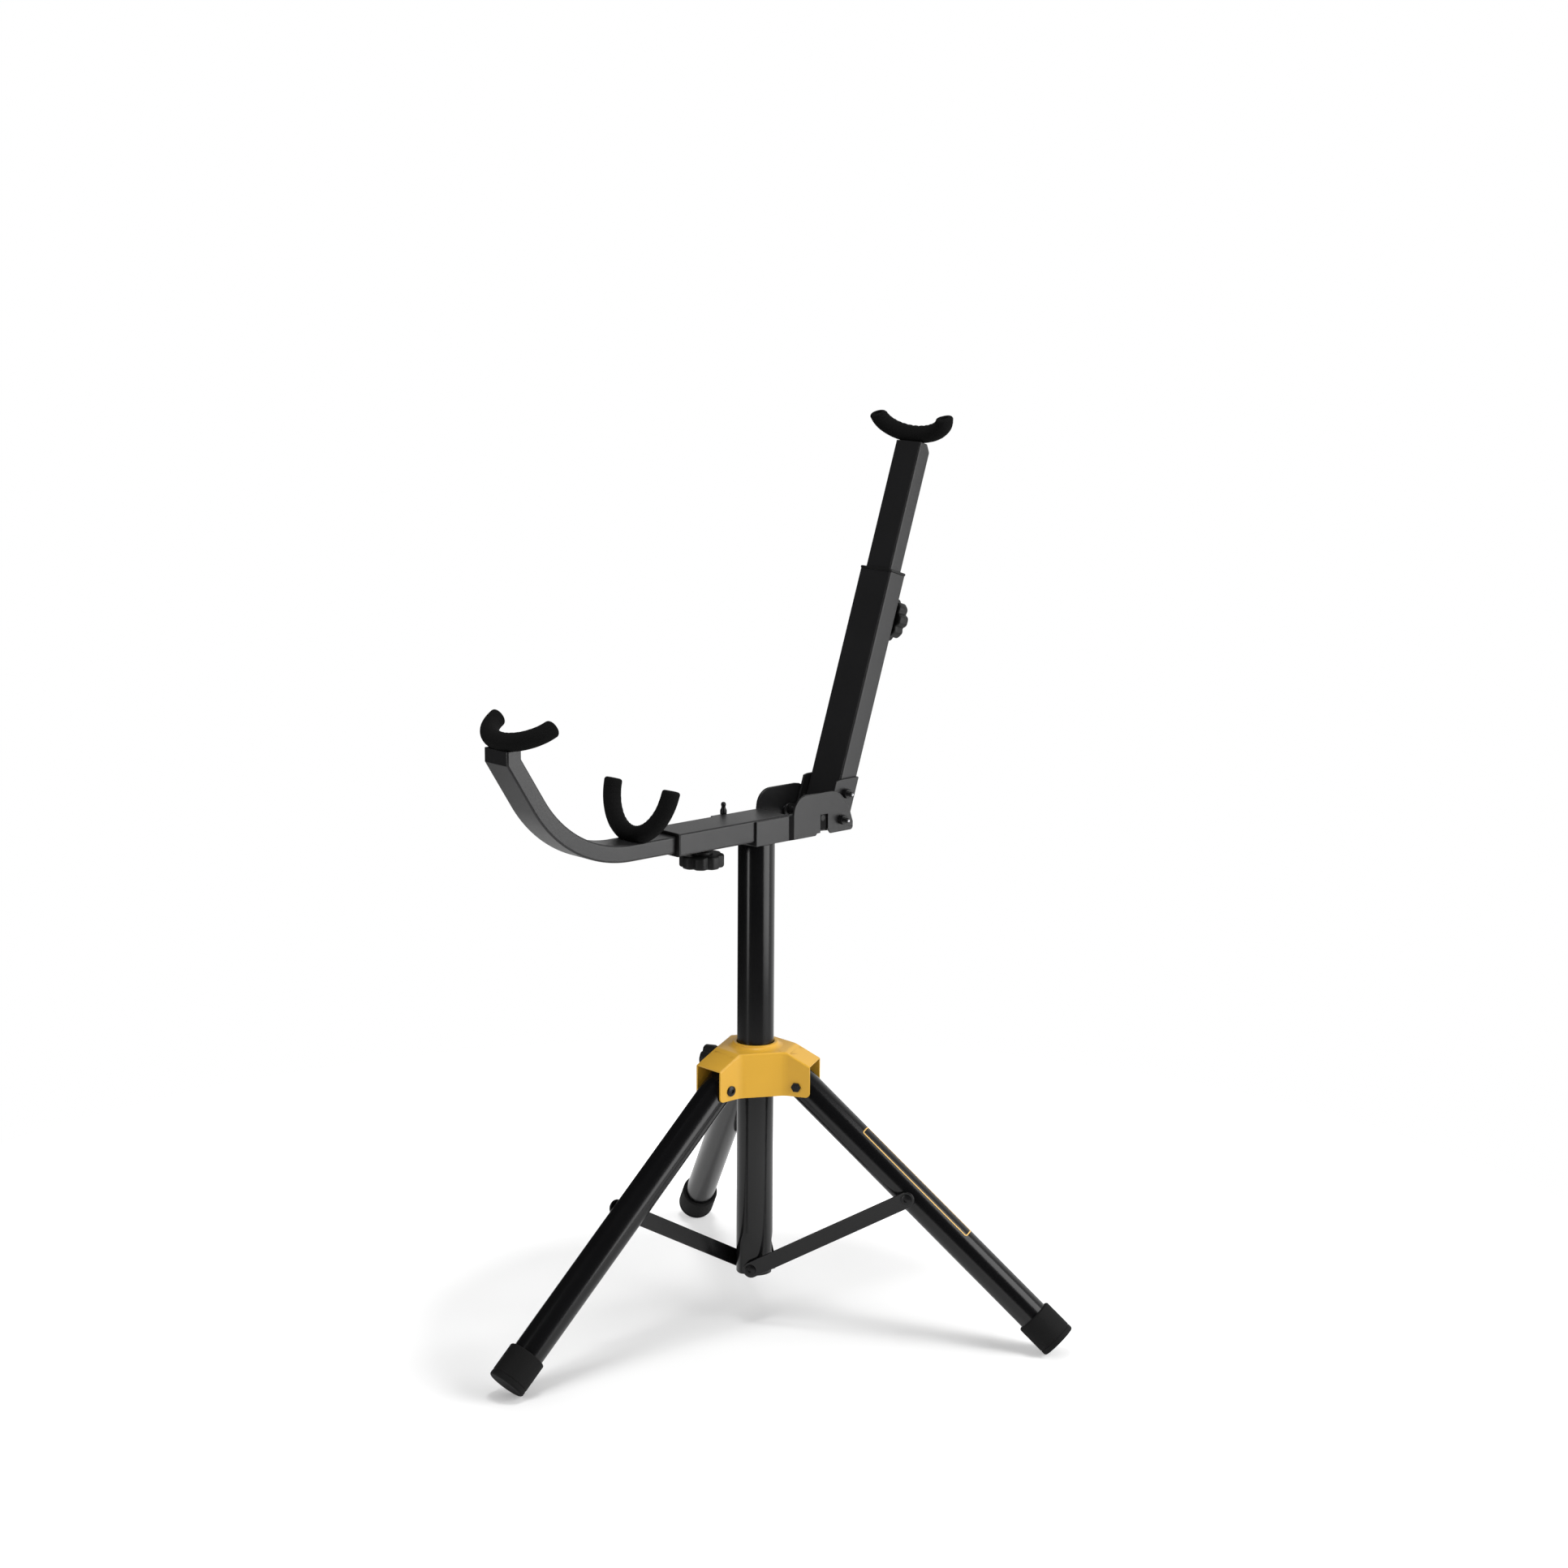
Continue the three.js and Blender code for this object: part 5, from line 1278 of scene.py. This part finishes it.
def foam_stations(sizes, depth):
    """Where the sleeve's loops lie: a share from tip to tip, a radius and a way in from the tip."""
    radius, edge = sizes.foam_radius, sizes.foam_edge
    hollow = [(sizes.dimple_radius * out, sizes.dimple_depth * down) for out, down in DIMPLE_OUTLINE]
    rim = [(radius - edge + x, edge - y) for x, y in arc((0, 0), edge, 90, 0, CORNER_STEPS)]
    tip = hollow + rim
    first = edge / depth / (math.pi / 2)
    body = [-1 + first + (2 - 2 * first) * i / FOAM_STATIONS for i in range(1, FOAM_STATIONS)]
    start = [(-1.0, *pair) for pair in tip]
    end = [(1.0, *pair) for pair in reversed(tip)]
    return start + [(share, radius, 0.0) for share in body] + end


def foam_loop(share, radius, inset, half_width, depth, sizes):
    """One loop round the sleeve, with creases on the inner side of the bend."""
    turn = share * math.pi / 2
    along = Vector((0, half_width * math.cos(turn), depth * math.sin(turn))).normalized()
    centre = Vector((0, half_width * math.sin(turn), depth * (1 - math.cos(turn))))
    centre -= along * math.copysign(inset, share)
    inward = FORWARD.cross(along)
    travelled = turn * (half_width + depth) / 2
    crease = sizes.wrinkle * math.cos(2 * math.pi * travelled / sizes.wrinkle_pitch) * math.cos(turn)
    points = []
    for i in range(FOAM_STEPS):
        around = 2 * math.pi * i / FOAM_STEPS
        inner_share = max(0.0, math.sin(around)) ** 2
        out = math.cos(around) * FORWARD + math.sin(around) * inward
        uneven = sizes.uneven * noise.noise((centre + out * radius) * FOAM_UNEVEN_SCALE)
        points.append(centre + out * (radius + uneven + crease * inner_share * (radius / sizes.foam_radius)))
    return points


class STAND_OT_knobs(bpy.types.Operator):
    """Adds the three lobed clamp knobs"""

    bl_idname = "stand.knobs"
    bl_label = "Add Knobs"

    def execute(self, context):
        sizes = context.scene.stand_knobs
        for name in ("arm", "backrest", "hub"):
            joint = f"{name}_screw_turn"
            axis, start = axis_of(joint), anchor(joint)
            low, high = reach(f"{name}_knob", axis, start)
            self.add_knob(name, facing(start, axis), low, high, sizes)
        return {"FINISHED"}

    def add_knob(self, name, place, low, high, sizes):
        """A moulded knob: neck, round lobes and a dished face with a cap."""
        rim, edge, neck = sizes.radius, sizes.rounding, sizes.neck_radius
        under = low + sizes.neck_height
        dish, boss = sizes.dish, sizes.boss_radius
        lower = [(rim - edge + x, under + edge + y, 1) for x, y in arc((0, 0), edge, -90, 0, CORNER_STEPS)]
        upper = [(rim - edge + x, high - edge + y, 1) for x, y in arc((0, 0), edge, 0, 90, CORNER_STEPS)]
        face = [(rim - inward * edge, high - down * dish, share) for inward, down, share in KNOB_FACE]
        face += [(boss + out, high - down * dish, 0) for out, down in CAP_EDGE]
        base = [(neck, low, 0)] + [(neck + out, under + up, 0) for out, up in NECK_FILLET]
        inward, share = KNOB_UNDERSIDE
        base.append((rim - inward * edge, under, share))
        count = sizes.lobes * KNOB_STEPS_PER_LOBE
        loops = []
        for radius, along, share in base + lower + upper + face:
            loops.append([place @ self.on_lobe(radius, along, share, 2 * math.pi * i / count, sizes)
                          for i in range(count)])
        bm = bmesh.new()
        loft(bm, loops)
        add_piece(f"{name}_clamp_knob", bm, f"{name}_screw", "plastic", [f"{name}_knob"])

    def on_lobe(self, radius, along, share, turn, sizes):
        """A point on the knob, pulled in between the lobes."""
        hollow = ((1 - math.cos(sizes.lobes * turn)) / 2) ** LOBE_SHARPNESS
        radius -= share * sizes.groove * hollow
        return Vector((radius * math.cos(turn), radius * math.sin(turn), along))


class STAND_OT_fasteners(bpy.types.Operator):
    """Adds bolts, nuts, rivets and weld beads with geometry nodes"""

    bl_idname = "stand.fasteners"
    bl_label = "Add Fasteners"

    def execute(self, context):
        sizes = context.scene.stand_fasteners
        bolts, nuts, welds = bolt_tree(), nut_tree(), weld_tree()
        self.add_pivots(sizes, bolts, nuts)
        self.add_rivets(sizes, bolts)
        self.add_cross_bolt("hinge", sizes, nuts)
        self.add_cross_bolt("clevis", sizes, nuts)
        self.add_welds(sizes, welds)
        return {"FINISHED"}

    def add_pivots(self, sizes, bolts, nuts):
        """Leg pivot bolts: a domed head on one side of the hub and a nut on the other."""
        heads, ends = [], []
        face = bpy.context.scene.stand_hub.side
        for side in SIDES:
            axis, pivot = axis_of(f"leg_fold_{side}"), anchor(f"leg_fold_{side}")
            heads.append((pivot + axis * face, axis))
            ends.append((pivot - axis * face, -axis))
        values = {"Head Radius": sizes.pivot_head, "Head Height": sizes.pivot_height,
                  "Recess Radius": sizes.pivot_recess, "Recess Depth": sizes.recess_depth,
                  "Shank Radius": sizes.shank, "Shank Length": 2 * face}
        grown("pivot_bolts", bolts, pointed("pivot_bolts", heads), values, "hub", "black_steel",
              [f"leg_pivot_bolt_{side}" for side in SIDES])
        values = {"Corner Radius": sizes.nut_radius, "Nut Height": sizes.pivot_height * PIVOT_NUT_HEIGHT,
                  "Thread Radius": sizes.shank, "Thread Length": sizes.pivot_height * PIVOT_THREAD,
                  "Thread Pitch": sizes.pitch}
        grown("pivot_nuts", nuts, pointed("pivot_nuts", ends), values, "hub", "black_steel",
              [f"leg_pivot_nut_{side}" for side in SIDES])

    def add_rivets(self, sizes, bolts):
        """Hollow-centred rivets at both ends of each brace."""
        values = {"Head Radius": sizes.rivet_head, "Head Height": sizes.rivet_height,
                  "Recess Radius": sizes.rivet_recess, "Recess Depth": sizes.recess_depth,
                  "Shank Radius": sizes.shank}
        inner = []
        for side in SIDES:
            out = -axis_of(f"leg_fold_{side}")
            pivot = anchor(f"brace_turn_{side}")
            near, far = reach(f"post_rivet_{side}", out, pivot)
            inner.append((pivot + out * (far - sizes.rivet_height), out))
            low, high = reach(f"brace_rivet_{side}", out)
            centre = middle(f"brace_rivet_{side}")
            outer = centre + out * (high - sizes.rivet_height - centre.dot(out))
            spaced = {**values, "Shank Length": high - low - sizes.rivet_height}
            host = pointed(f"brace_rivet_head_{side}", [(outer, out)])
            grown(f"brace_rivet_head_{side}", bolts, host, spaced, f"brace_{side}", "black_steel",
                  [f"brace_rivet_{side}"])
        values["Shank Length"] = far - near - sizes.rivet_height
        grown("post_rivet_heads", bolts, pointed("post_rivet_heads", inner), values, "base", "black_steel",
              [f"post_rivet_{side}" for side in SIDES])

    def add_cross_bolt(self, name, sizes, nuts):
        """A bolt across the hinge: its hexagonal head and shank, and a nut with the thread showing."""
        low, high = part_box(f"{name}_bolt")
        centre = middle(f"{name}_bolt")
        nut_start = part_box(f"{name}_nut")[0].y
        head_end = low.y + sizes.head_height
        common = {
            "Corner Radius": sizes.nut_radius, "Thread Radius": sizes.shank, "Thread Pitch": sizes.pitch}
        ends = (
            ("nut_end", nut_start, SIDEWAYS, sizes.nut_height, high.y - nut_start - sizes.bright_end),
            ("bolt_head", head_end, -SIDEWAYS, sizes.head_height, sizes.head_height * THREAD_IN_HEAD))
        for part, y, out, height, thread in ends:
            host = pointed(f"{name}_{part}", [(Vector((centre.x, y, centre.z)), out)])
            values = {**common, "Nut Height": height, "Thread Length": thread}
            replaced = [f"{name}_nut"] if part == "nut_end" else []
            grown(f"{name}_{part}", nuts, host, values, "base", "black_steel", replaced)
        line = facing(Vector((centre.x, 0, centre.z)), SIDEWAYS)
        tip_start, tip_end = [share * sizes.shank for share in BOLT_TIP]
        bm = turned([(tip_start, high.y - sizes.bright_end), (tip_end, high.y)], line)
        add_piece(f"{name}_bolt_end", bm, "base", "bright_steel")
        bm = turned([(sizes.shank, head_end), (sizes.shank, nut_start)], line, steps=SMALL_STEPS)
        add_piece(f"{name}_bolt_shank", bm, "base", "black_steel", [f"{name}_bolt"])

    def add_welds(self, sizes, welds):
        """Rippled beads under the bracket, round the clamp nuts and along the lug."""
        values = {"Bead Radius": sizes.bead, "Ripple": sizes.ripple}
        thinner = {**values, "Bead Radius": THIN_BEAD * sizes.bead}
        radius = width_of("center_post") / 2 + POST_BEAD_OUT * sizes.bead
        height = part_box("center_post")[1].z - POST_BEAD_DOWN * sizes.bead
        ring = [post_place() @ point for point in circle(radius, height)]
        grown("post_weld", welds, path_mesh("post_weld", ring, True), values, "base", "textured_black")
        for name, body in (("arm", "base"), ("backrest", "lower_backrest"), ("hub", "hub")):
            joint = f"{name}_screw_turn"
            axis, start = axis_of(joint), anchor(joint)
            near = reach(f"{name}_clamp_nut", axis, start)[0]
            place = facing(start, axis)
            ring = [place @ point for point in circle(sizes.nut_weld, near)]
            slot = "hub_yellow" if name == "hub" else "textured_black"
            grown(f"{name}_nut_weld", welds, path_mesh(f"{name}_nut_weld", ring, True), thinner, body, slot)
        low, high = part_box("side_lug")
        line = [Vector((x, high.y, low.z)) for x in (low.x + LUG_BEAD_INSET, high.x - LUG_BEAD_INSET)]
        grown("lug_weld", welds, path_mesh("lug_weld", line, False), thinner, "base", "textured_black")


class STAND_OT_nodes(bpy.types.Operator):
    """Gives the CAD nodes that stay in view their finishes"""

    bl_idname = "stand.nodes"
    bl_label = "Paint CAD Nodes"

    def execute(self, context):
        for name, node in frame["nodes"].items():
            if node.hide_render:
                continue
            kinds = [slot for slot, words in KEPT_NODES.items() if any(word in name for word in words)]
            if len(kinds) != 1:
                raise RuntimeError(f"{name} needs one finish, and has {kinds}")
            node.material_slots[0].material = finish(kinds[0])
        return {"FINISHED"}


class STAND_OT_stage(bpy.types.Operator):
    """Sets the camera, the lamps, the pale floor and the white surroundings"""

    bl_idname = "stand.stage"
    bl_label = "Set Stage"

    def execute(self, context):
        studio = context.scene.stand_studio
        context.scene.view_settings.view_transform = "Standard"
        self.set_camera(context, studio)
        self.set_world(context, studio)
        self.set_floor(studio)
        for name, (place, size) in LAMPS.items():
            self.add_lamp(name, Vector(place), size, getattr(studio, name))
        return {"FINISHED"}

    def set_camera(self, context, studio):
        """A camera at the photograph's place and angle."""
        heading, pitch = studio.heading, studio.pitch
        flat = Vector((math.cos(heading), math.sin(heading), 0))
        view = flat * math.cos(pitch) - Vector((0, 0, math.sin(pitch)))
        level = view.cross(UP).normalized()
        upward = level.cross(view)
        right = math.cos(studio.roll) * level + math.sin(studio.roll) * upward
        up = right.cross(view)
        lens = bpy.data.cameras.new("camera")
        lens.lens = studio.lens
        lens.sensor_width = SENSOR_WIDTH
        camera = bpy.data.objects.new("camera", lens)
        context.scene.collection.objects.link(camera)
        turn = Matrix((right, up, -view)).transposed().to_4x4()
        camera.matrix_world = Matrix.Translation(studio.place) @ turn
        context.scene.camera = camera

    def set_world(self, context, studio):
        """White to the camera and in reflections, which have one dark side, and grey on matt surfaces."""
        world = bpy.data.worlds.new("surroundings")
        world.use_nodes = True
        context.scene.world = world
        tree = world.node_tree
        tree.nodes["Background"].inputs["Color"].default_value = WHITE
        direction = wire(tree, "ShaderNodeTexCoord").outputs["Object"]
        flat = (math.cos(studio.dark_heading), math.sin(studio.dark_heading), 0)
        towards = wire(tree, "ShaderNodeVectorMath", {0: direction, 1: flat}, operation="DOT_PRODUCT")
        mirrored = spread(tree, towards.outputs["Value"], 1.0, studio.dark_side, DARK_START, DARK_END)
        path = wire(tree, "ShaderNodeLightPath").outputs
        strength = choose(tree, path["Is Glossy Ray"], studio.ambient, mirrored)
        plain = calc(tree, "MAXIMUM", path["Is Camera Ray"], path["Is Transmission Ray"])
        strength = choose(tree, plain, strength, 1.0)
        tree.links.new(strength, tree.nodes["Background"].inputs["Strength"])

    def set_floor(self, studio):
        """A round pale floor that keeps the stand's shadow and runs out into white."""
        mesh = bpy.data.meshes.new("floor")
        mesh.from_pydata(circle(FLOOR_RADIUS, FLOOR_HEIGHT), [], [range(ROUND_STEPS)])
        material = bpy.data.materials.new("pale_floor")
        material.use_nodes = True
        tree = material.node_tree
        shader = tree.nodes["Principled BSDF"]
        grain = wire(tree, "ShaderNodeTexNoise", FLOOR_GRAIN)
        pale = mixed(tree, grain.outputs["Fac"], *[(grey, grey, grey, 1) for grey in FLOOR_GREYS])
        shader.inputs["Roughness"].default_value = FLOOR_ROUGHNESS
        shader.inputs["Specular IOR Level"].default_value = 0.0
        shader.inputs["Emission Color"].default_value = WHITE
        place = wire(tree, "ShaderNodeTexCoord").outputs["Object"]
        away = wire(tree, "ShaderNodeVectorMath", {0: place}, operation="LENGTH").outputs["Value"]
        glow = spread(tree, away, studio.glow_near, 1.0, studio.glow_start, studio.glow_end)
        far = spread(tree, away, 0.0, 1.0, studio.glow_end, FLOOR_RADIUS)
        tree.links.new(mixed(tree, far, pale, BLACK), shader.inputs["Base Color"])
        path = wire(tree, "ShaderNodeLightPath").outputs
        seen = calc(tree, "MAXIMUM", path["Is Camera Ray"], path["Is Transmission Ray"])
        shine = calc(tree, "MULTIPLY", path["Is Glossy Ray"], studio.floor_shine)
        seen = calc(tree, "MAXIMUM", seen, shine)
        tree.links.new(calc(tree, "MULTIPLY", seen, glow), shader.inputs["Emission Strength"])
        mesh.materials.append(material)
        link("floor", mesh)

    def add_lamp(self, name, place, size, power):
        """A soft rectangular lamp that faces the stand."""
        lamp = bpy.data.lights.new(name, "AREA")
        lamp.shape = "RECTANGLE"
        lamp.size, lamp.size_y = size
        lamp.energy = power
        holder = bpy.data.objects.new(name, lamp)
        holder.visible_camera = False
        bpy.context.scene.collection.objects.link(holder)
        turn = (LAMP_AIM - place).to_track_quat("-Z", "Y").to_matrix().to_4x4()
        holder.matrix_world = Matrix.Translation(place) @ turn


OPERATORS = (
    STAND_OT_post, STAND_OT_legs, STAND_OT_braces, STAND_OT_hub, STAND_OT_head, STAND_OT_arm,
    STAND_OT_backrest, STAND_OT_yokes, STAND_OT_knobs, STAND_OT_fasteners, STAND_OT_nodes, STAND_OT_stage,
)


class STAND_PT_panel(bpy.types.Panel):
    """Lists the steps that dress the stand"""

    bl_idname = "STAND_PT_panel"
    bl_label = "Tuba Stand"
    bl_space_type = "VIEW_3D"
    bl_region_type = "UI"
    bl_category = "Tuba Stand"

    def draw(self, context):
        for operator in OPERATORS:
            self.layout.operator(operator.bl_idname)
        for name in GROUPS:
            box = self.layout.box()
            for key in GROUPS[name].__annotations__:
                box.prop(getattr(context.scene, name), key)


def register():
    """Registers the property groups, the operators and the panel."""
    for name, group in GROUPS.items():
        bpy.utils.register_class(group)
        setattr(bpy.types.Scene, name, bpy.props.PointerProperty(type=group))
    for item in (*OPERATORS, STAND_PT_panel):
        bpy.utils.register_class(item)


def unregister():
    """Takes back what register() added."""
    for item in (STAND_PT_panel, *reversed(OPERATORS)):
        bpy.utils.unregister_class(item)
    for name, group in reversed(GROUPS.items()):
        delattr(bpy.types.Scene, name)
        bpy.utils.unregister_class(group)


def main():
    register()
    for operator in OPERATORS:
        group, name = operator.bl_idname.split(".")
        getattr(getattr(bpy.ops, group), name)()


if __name__ == "__main__":
    main()
